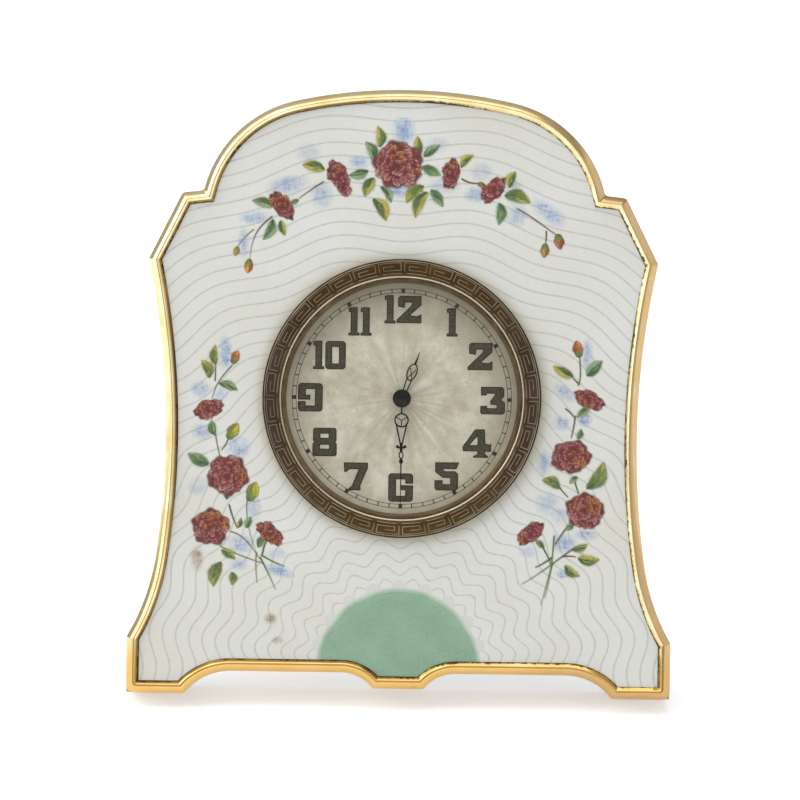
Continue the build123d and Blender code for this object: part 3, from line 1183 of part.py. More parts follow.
with BuildPart() as leg_hinge:
    with BuildSketch(case_at(CASE_REAR)):
        with Locations((0, hinge_plate_top)):
            Rectangle(2 * knuckle_end, HINGE_PLATE_HEIGHT + KNUCKLE_R, align=(Align.CENTER, Align.MAX))
        with Locations((0, HINGE_HEIGHT)):
            Rectangle(2 * knuckle_start, 2 * (KNUCKLE_R + AIR), mode=Mode.SUBTRACT)
        with Locations(hinge_screw_places):
            Circle(SCREW_R + SEAT, mode=Mode.SUBTRACT)
    extrude(amount=-HINGE_PLATE_THICK)
    for side in (-1, 1):
        with BuildSketch(SIDE.offset(side * knuckle_start)):
            Circle(KNUCKLE_R)
            Circle(HINGE_PIN_R + SEAT, mode=Mode.SUBTRACT)
        extrude(amount=side * SIDE_KNUCKLE)
    with BuildSketch(SIDE.offset(-knuckle_end)):
        Circle(HINGE_PIN_R + SEAT)
    extrude(amount=2 * knuckle_end, mode=Mode.SUBTRACT)
keep(leg_hinge, "leg_hinge")

with BuildPart() as hinge_screws:
    hinge_dial_places = [(x, height - DIAL_HEIGHT) for x, height in hinge_screw_places]
    hinge_seat = CASE_REAR - HINGE_PLATE_THICK
    slotted_screws(hinge_dial_places, CASE_REAR + BACK_THICK, hinge_seat, SCREW_HEAD_R, SCREW_R, SCREW_HEAD)
keep(hinge_screws, "hinge_screws")

with BuildPart() as hinge_pin:
    with BuildSketch(SIDE.offset(-knuckle_end)):
        Circle(HINGE_PIN_R)
    extrude(amount=2 * knuckle_end)
keep(hinge_pin, "hinge_pin")

leg_length = leg_reach + LEG_THICK

with BuildPart() as leg:
    with BuildSketch(LEG.offset(-LEG_THICK / 2)):
        with BuildLine():
            Polyline(
                (-LEG_TOP_HALF, -LEG_START),
                (LEG_TOP_HALF, -LEG_START),
                (LEG_FOOT_HALF, -leg_length),
                (-LEG_FOOT_HALF, -leg_length),
                close=True,
            )
        make_face()
        window_top = -LEG_START - LEG_TOP_BAR
        window_foot = -leg_reach + LEG_FOOT_BAR
        with BuildLine():
            Polyline(
                (-LEG_TOP_HALF + LEG_BAR, window_top),
                (LEG_TOP_HALF - LEG_BAR, window_top),
                (LEG_FOOT_HALF - LEG_BAR, window_foot),
                (-LEG_FOOT_HALF + LEG_BAR, window_foot),
                close=True,
            )
        make_face(mode=Mode.SUBTRACT)
        with Locations((0, 0)):
            Rectangle(LEG_KNUCKLE, LEG_START + AIR, align=(Align.CENTER, Align.MAX))
    extrude(amount=LEG_THICK)
    with BuildSketch(SIDE.offset(-LEG_KNUCKLE / 2)):
        Circle(KNUCKLE_R)
    extrude(amount=LEG_KNUCKLE)
    heel_front = CASE_REAR - HINGE_PLATE_THICK - 2 * RUN
    with BuildSketch(case_at(heel_front)):
        with Locations((0, HINGE_HEIGHT)):
            Rectangle(HEEL_WIDTH, HEEL_HEIGHT, align=(Align.CENTER, Align.MIN))
    extrude(amount=-LEG_THICK)
    with BuildSketch(SIDE.offset(-LEG_KNUCKLE / 2)):
        Circle(HINGE_PIN_R + RUN)
    extrude(amount=LEG_KNUCKLE, mode=Mode.SUBTRACT)
    with BuildSketch(Plane.XY):
        Rectangle(4 * CASE_HEIGHT, 4 * CASE_HEIGHT)
    extrude(amount=-CASE_HEIGHT, mode=Mode.SUBTRACT)
keep(leg, "leg")
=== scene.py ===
"""Looks of a small table clock: gilt rim, engine-turned white enamel with painted roses, bronzed bezel.

Metres and +Z up, in the frame of the solids. Case points are given in millimetres as x to the right,
h up the leaning front from the foot soles and n out of the front from the enamel surface.
"""

import json
import math
from functools import partial

import bmesh
import bpy
import numpy as np
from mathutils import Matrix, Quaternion, Vector


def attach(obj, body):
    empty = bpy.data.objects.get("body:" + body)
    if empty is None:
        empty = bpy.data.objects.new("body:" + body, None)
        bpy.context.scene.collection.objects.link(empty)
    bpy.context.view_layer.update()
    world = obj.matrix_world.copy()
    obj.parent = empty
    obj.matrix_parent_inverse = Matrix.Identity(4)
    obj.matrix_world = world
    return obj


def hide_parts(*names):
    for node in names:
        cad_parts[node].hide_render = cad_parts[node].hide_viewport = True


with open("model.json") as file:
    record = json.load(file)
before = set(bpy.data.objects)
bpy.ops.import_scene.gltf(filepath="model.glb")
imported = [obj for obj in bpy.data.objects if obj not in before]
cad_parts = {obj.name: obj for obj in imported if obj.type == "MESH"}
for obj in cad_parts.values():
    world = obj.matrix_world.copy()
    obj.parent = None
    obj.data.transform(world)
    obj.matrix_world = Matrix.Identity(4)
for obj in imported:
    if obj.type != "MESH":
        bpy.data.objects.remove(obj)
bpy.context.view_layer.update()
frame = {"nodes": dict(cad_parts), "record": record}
nodes = frame["nodes"]

MM = 0.001
TURN = 2 * math.pi

# Stance of the case, as in the solids
LEAN = math.radians(14.0)
CASE_Y = -25.076763
CASE_Z = 2.709525
DIAL_H = 49.1

# Case outline, right half, from the top to the soles
CROWN = (18.0, 98.0)
NECK = (33.1, 83.0)
SHOULDER = (36.6, 82.6)
HORN = (42.0, 71.7)
WAIST = (38.9, 45.0)
FLARE = (40.4, 22.0)
FOOT_TOP = (44.85, 9.3)
SOLE_OUT = (44.85, 0.0)
SOLE_IN = (35.3, 0.0)
RAIL = (27.5, 3.8)
APRON = (9.5, 3.8)
DROP = (4.2, 1.2)
TOP = (0.0, 100.0)

# Engine turning: waves about the sun's centre
SUN_H = 4.3
SUN_R = 13.7
WAVES = 20
WAVE_RISE = 0.85
GROUP_PITCH = 2.2
FINE_LINES = 6

# Bezel's sloping band, from its inner to its outer radius
BAND_IN = 20.4
BAND_OUT = 22.62


def stand(x, h, n):
    """World metres of case points: the (h, n) axes are turned by the lean, then moved to the case's foot."""
    x, h, n = np.broadcast_arrays(x, h, n)
    y = CASE_Y + h * math.sin(LEAN) - n * math.cos(LEAN)
    z = CASE_Z + h * math.cos(LEAN) + n * math.sin(LEAN)
    return np.stack([x, y, z], -1) * MM


def turned(radius, angle, n):
    """World metres of dial points: radius from the hand axis, angle clockwise from twelve, level n."""
    return stand(radius * np.sin(angle), DIAL_H + radius * np.cos(angle), n)


# Meshes


def grid_quads(rows, columns, ring_rows=False, ring_columns=False):
    """Quads between neighbours of a grid of points, closed round where a direction is a ring."""
    row = np.arange(rows if ring_rows else rows - 1)
    column = np.arange(columns if ring_columns else columns - 1)
    row, column = np.meshgrid(row, column, indexing="ij")
    below = (row + 1) % rows
    beside = (column + 1) % columns
    corners = [row * columns + column, row * columns + beside, below * columns + beside, below * columns + column]
    return np.stack(corners, -1).reshape(-1, 4)


def stood(mesh, body, finish):
    """Piece of a mesh, with its name, that rides on a body and takes its finish from a slot."""
    mesh.materials.append(finish)
    piece = bpy.data.objects.new(mesh.name, mesh)
    bpy.context.scene.collection.objects.link(piece)
    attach(piece, body)
    return piece


def put_piece(name, points, quads, body, finish, closed=True, sharp=40.0):
    """Puts points and quads into a mesh, smooth apart from edges above a sharp angle, and stands it on a body."""
    mesh = bpy.data.meshes.new(name)
    points = np.asarray(points, np.float32).reshape(-1, 3)
    quads = np.asarray(quads, np.int32)
    mesh.vertices.add(len(points))
    mesh.vertices.foreach_set("co", points.ravel())
    mesh.loops.add(quads.size)
    mesh.loops.foreach_set("vertex_index", quads.ravel())
    mesh.polygons.add(len(quads))
    mesh.polygons.foreach_set("loop_start", np.arange(0, quads.size, 4, dtype=np.int32))
    mesh.update(calc_edges=True)
    if closed:
        work = bmesh.new()
        work.from_mesh(mesh)
        bmesh.ops.recalc_face_normals(work, faces=work.faces)
        work.to_mesh(mesh)
        work.free()
    mesh.shade_smooth()
    mesh.set_sharp_from_angle(angle=math.radians(sharp))
    return stood(mesh, body, finish)


def rounded(points, radius, steps=3):
    """Closed profile with each corner replaced by a curve of its radius, clamped to a third of its sides."""
    points = np.asarray(points, float)
    radius = np.broadcast_to(radius, len(points))[:, None]
    before = np.roll(points, 1, 0) - points
    after = np.roll(points, -1, 0) - points
    long_before = np.linalg.norm(before, axis=1, keepdims=True)
    long_after = np.linalg.norm(after, axis=1, keepdims=True)
    cut = np.minimum(radius, np.minimum(long_before, long_after) / 3)
    start = points + before / long_before * cut
    end = points + after / long_after * cut
    t = np.linspace(0, 1, steps + 1)[None, :, None]
    arc = (1 - t) ** 2 * start[:, None] + 2 * t * (1 - t) * points[:, None] + t ** 2 * end[:, None]
    return arc.reshape(-1, 2)


def turned_piece(name, profile, body, finish, steps=192):
    """Closed profile of (radius, level) points carried round the hand axis."""
    profile = np.asarray(profile, float)
    angle = np.linspace(0, TURN, steps, endpoint=False)[:, None]
    points = turned(profile[None, :, 0], angle, profile[None, :, 1])
    quads = grid_quads(steps, len(profile), True, True)
    return put_piece(name, points, quads, body, finish)


# Copies of solids: the gap within which corners merge, and angles that count as flat and as an edge
MERGE_GAP = 0.002
FLAT_ANGLE = math.radians(1.0)
EDGE_ANGLE = math.radians(30.0)


def merged_copy(name, node):
    """New mesh and its editable form: a solid's loose triangles, merged."""
    source = nodes[node].data
    corners = np.empty(len(source.vertices) * 3, np.float32)
    source.vertices.foreach_get("co", corners)
    loops = np.empty(len(source.loops), np.int32)
    source.loops.foreach_get("vertex_index", loops)
    mesh = bpy.data.meshes.new(name)
    mesh.from_pydata(corners.reshape(-1, 3), [], loops.reshape(-1, 3))
    work = bmesh.new()
    work.from_mesh(mesh)
    bmesh.ops.remove_doubles(work, verts=work.verts, dist=MERGE_GAP * MM)
    return mesh, work


def take_place(mesh, work, node, body, finish):
    """Stands the worked mesh on a body, in place of the solid."""
    work.to_mesh(mesh)
    work.free()
    piece = stood(mesh, body, finish)
    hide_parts(node)
    return piece


def softened(node, body, finish, width):
    """Copy of a solid with its flat faces joined and its edges rounded by a small bevel."""
    mesh, work = merged_copy(node + "_rounded", node)
    bmesh.ops.dissolve_limit(work, angle_limit=FLAT_ANGLE, verts=work.verts, edges=work.edges)
    piece = take_place(mesh, work, node, body, finish)
    mesh.shade_smooth()
    mesh.set_sharp_from_angle(angle=EDGE_ANGLE)
    edge = piece.modifiers.new("edge", "BEVEL")
    edge.width = width * MM
    edge.segments = 2
    edge.limit_method = "ANGLE"
    edge.angle_limit = EDGE_ANGLE
    edge.use_clamp_overlap = True
    edge.harden_normals = True


# Sloping edge of the dial figures: its width and its fall
FIGURE_EDGE = 0.15
FIGURE_DROP = 0.11


def stamped(node, body, finish):
    """Copy of flat raised figures with sloping edges: each top is inset, and its old outline sinks."""
    mesh, work = merged_copy(node + "_stamped", node)
    front = Vector((0.0, -math.cos(LEAN), math.sin(LEAN)))
    work.normal_update()
    tops = [face for face in work.faces if face.normal.dot(front) > 0.9]
    rim = bmesh.ops.inset_region(work, faces=tops, thickness=FIGURE_EDGE * MM, use_even_offset=True)["faces"]
    inside = {vert for face in tops for vert in face.verts}
    outline = [vert for vert in {vert for face in rim for vert in face.verts} if vert not in inside]
    bmesh.ops.translate(work, verts=outline, vec=front * -FIGURE_DROP * MM)
    take_place(mesh, work, node, body, finish)
    mesh.shade_flat()


# Materials


def srgb(code):
    """Colour of a hex value as it is written."""
    return np.array([int(code[i:i + 2], 16) / 255 for i in (1, 3, 5)])


def linear(colour):
    """Linear colour of an sRGB one."""
    return np.where(colour <= 0.04045, colour / 12.92, ((colour + 0.055) / 1.055) ** 2.4)


def add_node(finish, kind, *inputs, **settings):
    """Adds one node with its settings.

    Its inputs, in order or as a table, are values, hex colours, other nodes or their outputs.
    """
    node = finish.node_tree.nodes.new("ShaderNode" + kind)
    for key, value in settings.items():
        setattr(node, key, value)
    links = inputs[0] if inputs and isinstance(inputs[0], dict) else dict(enumerate(inputs))
    for key, value in links.items():
        if isinstance(value, str):
            value = (*linear(srgb(value)), 1.0)
        if isinstance(value, bpy.types.Node):
            value = next(output for output in value.outputs if output.enabled)
        if isinstance(value, bpy.types.NodeSocket):
            finish.node_tree.links.new(value, node.inputs[key])
        else:
            node.inputs[key].default_value = value
    return node


def new_finish(name):
    """Empty material, and the function that adds nodes to it."""
    finish = bpy.data.materials.new(name)
    finish.use_nodes = True
    finish.node_tree.nodes.clear()
    return finish, partial(add_node, finish)


def case_place(add, h):
    """Millimetre coordinates on the case front, with the origin at height h on the centre line."""
    place = add("TexCoord").outputs["Object"]
    upright = (math.pi / 2 - LEAN, 0, 0)
    links = {"Vector": place, "Location": stand(0.0, h, 0.0), "Rotation": upright, "Scale": (MM, MM, MM)}
    return add("Mapping", links, vector_type="TEXTURE")


def polar_place(add, place):
    """Distance from the origin of case coordinates and the angle from straight up."""
    axes = add("SeparateXYZ", place)
    flat = add("CombineXYZ", axes.outputs[0], axes.outputs[1])
    reach = add("VectorMath", flat, operation="LENGTH")
    angle = add("Math", axes.outputs[0], axes.outputs[1], operation="ARCTAN2")
    return reach, angle, flat


def gilded(name, light, deep, blotch_mm, rough):
    """Gilt brass, brushed upright and handled for a century: warm satin with hairlines and duller blotches.

    The hairlines are drawn 0.25 mm wide, coarser than real ones, so that they show.
    """
    finish, add = new_finish(name)
    place = add("TexCoord").outputs["Object"]
    blotch = add("TexNoise", {"Vector": place, "Scale": 1 / (blotch_mm * MM), "Detail": 4.0})
    drawn = add("Mapping", {"Vector": place, "Scale": (1.0, 1.0, 0.03)})
    marks = add("TexNoise", {"Vector": drawn, "Scale": 1 / (0.25 * MM), "Detail": 2.0})
    mixed = add("Math", marks, 0.8, blotch, operation="MULTIPLY_ADD")
    share = add("MapRange", mixed, 0.6, 1.3)
    colour = add("Mix", {0: share, 6: light, 7: deep}, data_type="RGBA")
    wear = add("Math", blotch, marks, operation="MULTIPLY")
    gloss = add("MapRange", wear, 0.1, 0.5, rough, rough + 0.22)
    bump = add("Bump", {"Height": marks, "Strength": 0.08, "Distance": 0.05 * MM})
    links = {"Base Color": colour, "Roughness": gloss, "Normal": bump, "Metallic": 1.0}
    add("OutputMaterial", add("BsdfPrincipled", links))
    return finish


def turned_gilding():
    """Gilt brass turned on a lathe: rings round the middle, drawn 0.45 mm apart so that they show, and dull spots."""
    finish, add = new_finish("turned_gilt_brass")
    dial = case_place(add, DIAL_H)
    reach = polar_place(add, dial)[0]
    spots = add("TexNoise", {"Vector": dial, "Scale": 1 / 4, "Detail": 4.0})
    cut = add("Math", reach, TURN / 0.45, operation="MULTIPLY")
    groove = add("Math", cut, operation="SINE")
    share = add("MapRange", groove, -1.0, 1.0, 0.15, 0.6)
    share = add("Math", share, spots, operation="MULTIPLY")
    colour = add("Mix", {0: share, 6: "#EBD6A2", 7: "#A88A50"}, data_type="RGBA")
    gloss = add("MapRange", spots, 0.3, 0.7, 0.2, 0.36)
    bump = add("Bump", {"Height": groove, "Strength": 0.25, "Distance": 0.02 * MM})
    links = {"Base Color": colour, "Roughness": gloss, "Normal": bump, "Metallic": 1.0}
    add("OutputMaterial", add("BsdfPrincipled", links))
    return finish


def rim_gilding():
    """Gilt moulding of the rim: bright facets, black grime in the groove and specks above it, and painted shade in
    places.

    The moulding's own UV map gives millimetres along the rim and across it from the enamel.
    """
    finish, add = new_finish("gilt_rim")
    place = add("TexCoord").outputs["Object"]
    across = add("SeparateXYZ", add("UVMap", uv_map="moulding")).outputs["Y"]
    blotch = add("TexNoise", {"Vector": place, "Scale": 1 / (5 * MM), "Detail": 4.0})
    drift = add("TexNoise", {"Vector": place, "Scale": 1 / (11 * MM)})
    speck = add("TexNoise", {"Vector": place, "Scale": 1 / (0.8 * MM), "Detail": 5.0, "Roughness": 0.7})
    share = add("MapRange", blotch, 0.35, 0.7)
    axes = add("SeparateXYZ", place)
    sideways = axes.outputs["X"]
    # Painted shade: deeper gold towards the bottom of the rim, for the shadowed floor it mirrors; it also adds grime
    # there
    low = add("MapRange", axes.outputs["Z"], 7 * MM, 16 * MM, 0.85, 0.0)
    # Painted shade: the outer facet grows darker towards the right, where it mirrors the darker side of the room
    outer = add("MapRange", across, 0.85, 1.05)
    rightward = add("MapRange", sideways, 14 * MM, 34 * MM, 0.0, 0.75)
    worn = add("Math", outer, rightward, operation="MULTIPLY")
    # Painted shade on the inner facet: on the left half and the middle, fading out to the right, and on the upright
    # side of the right foot
    handled = add("MapRange", sideways, -6 * MM, 14 * MM, 0.9, 0.0)
    foot = add("MapRange", axes.outputs["Z"], 9 * MM, 10 * MM, 0.8, 0.0)
    right_foot = add("Math", sideways, 42 * MM, operation="GREATER_THAN")
    foot = add("Math", foot, right_foot, operation="MULTIPLY")
    handled = add("Math", handled, foot, operation="MAXIMUM")
    inner = add("MapRange", across, 0.42, 0.54, 1.0, 0.0)
    inner_facet_shade = add("Math", inner, handled, operation="MULTIPLY")
    reach = add("MapRange", across, 0.0, 0.55, 1.0, 0.0)
    uneven = add("Math", speck, drift, operation="MULTIPLY")
    loose = add("MapRange", uneven, 0.16, 0.4)
    grime = add("Math", reach, loose, operation="ADD")
    grime = add("Math", low, 0.2, grime, operation="MULTIPLY_ADD")
    black = add("MapRange", grime, 1.02, 1.3, 0.0, 0.9)
    colour = "#F6E3B4"
    for layer, tone in (
        (share, "#E6C888"), (low, "#D8AC5C"), (worn, "#C09868"), (inner_facet_shade, "#7C602C"), (black, "#3A2C12"),
    ):
        colour = add("Mix", {0: layer, 6: colour, 7: tone}, data_type="RGBA")
    dull = add("MapRange", black, 0.0, 1.0, 0.0, 0.4)
    gloss = add("MapRange", blotch, 0.3, 0.7, 0.1, 0.26)
    rough = add("Math", gloss, dull, operation="ADD")
    bump = add("Bump", {"Height": drift, "Strength": 0.05, "Distance": 0.1 * MM})
    links = {"Base Color": colour, "Roughness": rough, "Normal": bump, "Metallic": 1.0}
    add("OutputMaterial", add("BsdfPrincipled", links))
    return finish


def white_enamel():
    """Translucent white enamel fired over engine-turned silver: glossy glass, cut waves showing grey through it.

    Line number = (distance from the sun + rise * cos(waves * angle)) / pitch; one cut in six is deeper.
    """
    finish, add = new_finish("white_enamel_over_engine_turning")
    case = case_place(add, SUN_H)
    reach, angle = polar_place(add, case)[:2]
    cloud = add("TexNoise", {"Vector": case, "Scale": 1 / 16, "Detail": 3.0})
    mottle = add("TexNoise", {"Vector": case, "Scale": 1 / 0.8, "Detail": 4.0})
    stain = add("TexNoise", {"Vector": case, "Scale": 1 / 7, "Detail": 5.0, "Roughness": 0.65})
    phase = add("Math", angle, float(WAVES), operation="MULTIPLY")
    swing = add("Math", phase, operation="COSINE")
    path = add("Math", swing, WAVE_RISE, reach, operation="MULTIPLY_ADD")
    group = add("Math", path, GROUP_PITCH, operation="DIVIDE")
    part = add("Math", group, operation="FRACT")
    off = add("Math", part, 0.5, operation="SUBTRACT")
    away = add("Math", off, operation="ABSOLUTE")
    deep = add("MapRange", away, 0.02, 0.11, 1.0, 0.0, interpolation_type="SMOOTHSTEP")
    fine_phase = add("Math", group, TURN * FINE_LINES, operation="MULTIPLY")
    fine = add("Math", fine_phase, operation="COSINE")
    faint = add("MapRange", fine, -1.0, 1.0, 0.0, 0.7)
    fine_share = add("Math", faint, mottle, operation="MULTIPLY")
    age = add("MapRange", cloud, 0.3, 0.7)
    uneven = add("MapRange", mottle, 0.25, 0.75, 0.5, 1.0)
    cut = add("Math", deep, uneven, operation="MULTIPLY")
    # Bare grey lobes between the sun and the first wave
    first = add("Math", swing, WAVE_RISE, SUN_R + 0.55, operation="MULTIPLY_ADD")
    inside = add("Math", first, reach, operation="SUBTRACT")
    lobe = add("MapRange", inside, 0.0, 0.25, interpolation_type="SMOOTHSTEP")
    # Darker yellow-brown ring round the bezel, partly old grime and partly painted shade, and a few tan stains
    from_hub = polar_place(add, case_place(add, DIAL_H))[0]
    grime_and_shade_ring = add("MapRange", from_hub, 22.9, 25.0, 0.3, 0.0, interpolation_type="SMOOTHSTEP")
    spot = add("MapRange", stain, 0.72, 0.8, 0.0, 0.4)
    body = "#E6E7E3"
    for layer, tone in (
        (age, "#E0DFD5"), (fine_share, "#CBCCC7"), (cut, "#BFC0BB"),
        (lobe, "#D8D5D6"), (grime_and_shade_ring, "#C4B078"), (spot, "#B49A6A"),
    ):
        body = add("Mix", {0: layer, 6: body, 7: tone}, data_type="RGBA")
    ripple = add("Bump", {"Height": cloud, "Strength": 0.04, "Distance": 0.3 * MM})
    links = {"Base Color": body, "Normal": ripple, "Roughness": 0.14, "IOR": 1.52}
    add("OutputMaterial", add("BsdfPrincipled", links))
    return finish


def green_enamel():
    """Opaque mint enamel, fired and stoned flat: fine pigment grain, paler turning marks and a thin edge."""
    finish, add = new_finish("mint_enamel")
    case = case_place(add, SUN_H)
    reach = polar_place(add, case)[0]
    grain = add("TexNoise", {"Vector": case, "Scale": 1 / 0.45, "Detail": 5.0, "Roughness": 0.7})
    cloud = add("TexNoise", {"Vector": case, "Scale": 1 / 5, "Detail": 3.0})
    fine = add("MapRange", grain, 0.3, 0.7)
    pale = add("MapRange", cloud, 0.4, 0.75, 0.0, 0.5)
    phase = add("Math", reach, TURN / 0.5, operation="MULTIPLY")
    ring = add("Math", phase, operation="COSINE")
    band = add("MapRange", reach, 11.6, 13.2)
    line = add("MapRange", ring, 0.55, 1.0, 0.0, 0.45)
    marks = add("Math", line, band, operation="MULTIPLY")
    broken = add("Math", marks, cloud, operation="MULTIPLY")
    wavy = add("Math", cloud, 0.9, reach, operation="MULTIPLY_ADD")
    thin = add("MapRange", wavy, 13.2, 14.2, 0.0, 0.85, interpolation_type="SMOOTHSTEP")
    body = "#84A48A"
    for layer, tone in ((fine, "#94B39A"), (pale, "#A2C4AA"), (broken, "#D2E2D2"), (thin, "#D2DCCE")):
        body = add("Mix", {0: layer, 6: body, 7: tone}, data_type="RGBA")
    ripple = add("Bump", {"Height": cloud, "Strength": 0.05, "Distance": 0.3 * MM})
    links = {"Base Color": body, "Normal": ripple, "Roughness": 0.16, "IOR": 1.52}
    add("OutputMaterial", add("BsdfPrincipled", links))
    return finish


def flower_paint():
    """Vitreous paint fired on the enamel: colours and cover from the piece's own attribute, a soft gloss."""
    finish, add = new_finish("fired_flower_paint")
    colour = add("Attribute", attribute_name="paint")
    links = {"Base Color": colour.outputs["Color"], "Alpha": colour.outputs["Alpha"], "Roughness": 0.25, "IOR": 1.52}
    add("OutputMaterial", add("BsdfPrincipled", links))
    return finish


def bronzed(name, light, deep, rough):
    """Brass toned brown by age: satin metal, darker in its blotches, a little bright where hands wore it."""
    finish, add = new_finish(name)
    place = add("TexCoord").outputs["Object"]
    blotch = add("TexNoise", {"Vector": place, "Scale": 1 / (3.5 * MM), "Detail": 5.0, "Roughness": 0.6})
    grain = add("TexNoise", {"Vector": place, "Scale": 1 / (0.35 * MM), "Detail": 3.0})
    share = add("MapRange", blotch, 0.35, 0.68)
    colour = add("Mix", {0: share, 6: light, 7: deep}, data_type="RGBA")
    gloss = add("MapRange", grain, 0.3, 0.7, rough, rough + 0.2)
    bump = add("Bump", {"Height": grain, "Strength": 0.12, "Distance": 0.03 * MM})
    links = {"Base Color": colour, "Roughness": gloss, "Normal": bump, "Metallic": 1.0}
    add("OutputMaterial", add("BsdfPrincipled", links))
    return finish


def bezel_brass():
    """Bronzed brass bezel: brown satin with a dark edge; golden top and foot and bright slope are painted light."""
    finish, add = new_finish("toned_bezel_brass")
    dial = case_place(add, DIAL_H)
    reach, _, flat = polar_place(add, dial)
    blotch = add("TexNoise", {"Vector": dial, "Scale": 1 / 3.5, "Detail": 5.0, "Roughness": 0.6})
    grain = add("TexNoise", {"Vector": dial, "Scale": 1 / 0.35, "Detail": 3.0})
    upright = add("SeparateXYZ", flat).outputs["Y"]
    far = add("Math", upright, operation="ABSOLUTE")
    # Painted reflection: the band turns golden towards its top and its foot
    golden = add("MapRange", far, 8.0, 22.0)
    share = add("MapRange", blotch, 0.35, 0.68, 0.0, 0.7)
    # Painted highlight: lighter on the band's inner slope, over the shade between band and bead
    slope = add("MapRange", reach, BAND_IN - 0.05, BAND_IN + 0.1, 0.85, 0.0)
    edge = add("MapRange", reach, BAND_OUT, BAND_OUT + 0.1, 0.0, 0.8)
    colour = "#54443A"
    for layer, tone in ((golden, "#5C4724"), (share, "#3A2D1E"), (slope, "#8A7450"), (edge, "#241C0E")):
        colour = add("Mix", {0: layer, 6: colour, 7: tone}, data_type="RGBA")
    gloss = add("MapRange", grain, 0.3, 0.7, 0.36, 0.56)
    bump = add("Bump", {"Height": grain, "Strength": 0.12, "Distance": 0.03 * MM})
    links = {"Base Color": colour, "Roughness": gloss, "Normal": bump, "Metallic": 1.0}
    add("OutputMaterial", add("BsdfPrincipled", links))
    return finish


# Radii of the minute track
TRACK_OUT = 18.1
TRACK_IN = 17.45


def silvered_dial():
    """Matt silvered brass dial, aged cream: radial brushing round the hub, printed minute track, specks, stains and
    painted shade.
    """
    finish, add = new_finish("silvered_dial")
    dial = case_place(add, DIAL_H)
    reach, angle, flat = polar_place(add, dial)
    direction = add("VectorMath", flat, operation="NORMALIZE")
    rays = add("TexNoise", {"Vector": direction, "Scale": 9.0, "Detail": 4.0, "Roughness": 0.65})
    cloud = add("TexNoise", {"Vector": dial, "Scale": 1 / 6, "Detail": 4.0})
    speck = add("TexNoise", {"Vector": dial, "Scale": 1 / 0.5, "Detail": 4.0, "Roughness": 0.7})
    mottle = add("TexNoise", {"Vector": dial, "Scale": 1 / 1.6, "Detail": 5.0, "Roughness": 0.7})
    patina = add("Math", cloud, mottle, operation="ADD")
    age = add("MapRange", patina, 0.75, 1.25)
    fade = add("MapRange", reach, 1.5, 11.0, 0.85, 0.1)
    streak = add("MapRange", rays, 0.44, 0.6)
    streak_share = add("Math", streak, fade, operation="MULTIPLY")
    dirt = add("MapRange", speck, 0.58, 0.72, 0.0, 0.5)
    # Painted shade: darker towards the dial's edge at the top and right, where the bezel's shadow falls
    offset = add("VectorMath", flat, (1.0, 2.6, 0.0), operation="ADD")
    from_low = add("VectorMath", offset, operation="LENGTH")
    shaded = add("MapRange", from_low, 13.0, 21.5, 0.0, 0.8)
    # Minute track: two hairlines, a tick every six degrees and a block at each hour
    ink = 0.0
    for radius in (TRACK_OUT, TRACK_IN):
        gap = add("Math", reach, radius, operation="SUBTRACT")
        off = add("Math", gap, operation="ABSOLUTE")
        line = add("MapRange", off, 0.04, 0.09, 0.85, 0.0)
        ink = add("Math", ink, line, operation="MAXIMUM")
    for count, half, dark in ((60, 0.075, 0.95), (12, 0.3, 1.0)):
        part = add("Math", angle, count / TURN, operation="MULTIPLY")
        nearest = add("Math", part, operation="ROUND")
        rest = add("Math", part, nearest, operation="SUBTRACT")
        off = add("Math", rest, operation="ABSOLUTE")
        share = add("Math", off, reach, operation="MULTIPLY")
        width = add("Math", share, TURN / count, operation="MULTIPLY")
        line = add("MapRange", width, half, half + 0.045, dark, 0.0)
        ink = add("Math", ink, line, operation="MAXIMUM")
    middle = add("Math", reach, (TRACK_OUT + TRACK_IN) / 2, operation="SUBTRACT")
    off = add("Math", middle, operation="ABSOLUTE")
    half = (TRACK_OUT - TRACK_IN) / 2
    within = add("MapRange", off, half + 0.04, half + 0.08, 1.0, 0.0)
    printed = add("Math", ink, within, operation="MULTIPLY")
    body = "#F0EBDC"
    for layer, tone in (
        (age, "#CAC3B0"), (streak_share, "#C2B9A4"), (dirt, "#8F8772"), (shaded, "#938B78"), (printed, "#2A2A24"),
    ):
        body = add("Mix", {0: layer, 6: body, 7: tone}, data_type="RGBA")
    gloss = add("MapRange", speck, 0.3, 0.7, 0.42, 0.6)
    links = {"Base Color": body, "Roughness": gloss, "Metallic": 0.15}
    add("OutputMaterial", add("BsdfPrincipled", links))
    return finish


def oxidised(name, top, mottled, side, rough):
    """Stamped metal figures, oxidised olive: flat speckled tops, darker on their sloping sides."""
    finish, add = new_finish(name)
    axes = add("TexCoord")
    grain = add("TexNoise", {"Vector": axes.outputs["Object"], "Scale": 1 / (0.35 * MM), "Detail": 5.0})
    front = (0, -math.cos(LEAN), math.sin(LEAN))
    facing = add("VectorMath", axes.outputs["Normal"], front, operation="DOT_PRODUCT")
    level = add("MapRange", facing, 0.85, 0.99)
    fine = add("MapRange", grain, 0.3, 0.7)
    flat = add("Mix", {0: fine, 6: top, 7: mottled}, data_type="RGBA")
    colour = add("Mix", {0: level, 6: side, 7: flat}, data_type="RGBA")
    gloss = add("MapRange", grain, 0.3, 0.7, rough, rough + 0.2)
    links = {"Base Color": colour, "Roughness": gloss, "Metallic": 0.35}
    add("OutputMaterial", add("BsdfPrincipled", links))
    return finish


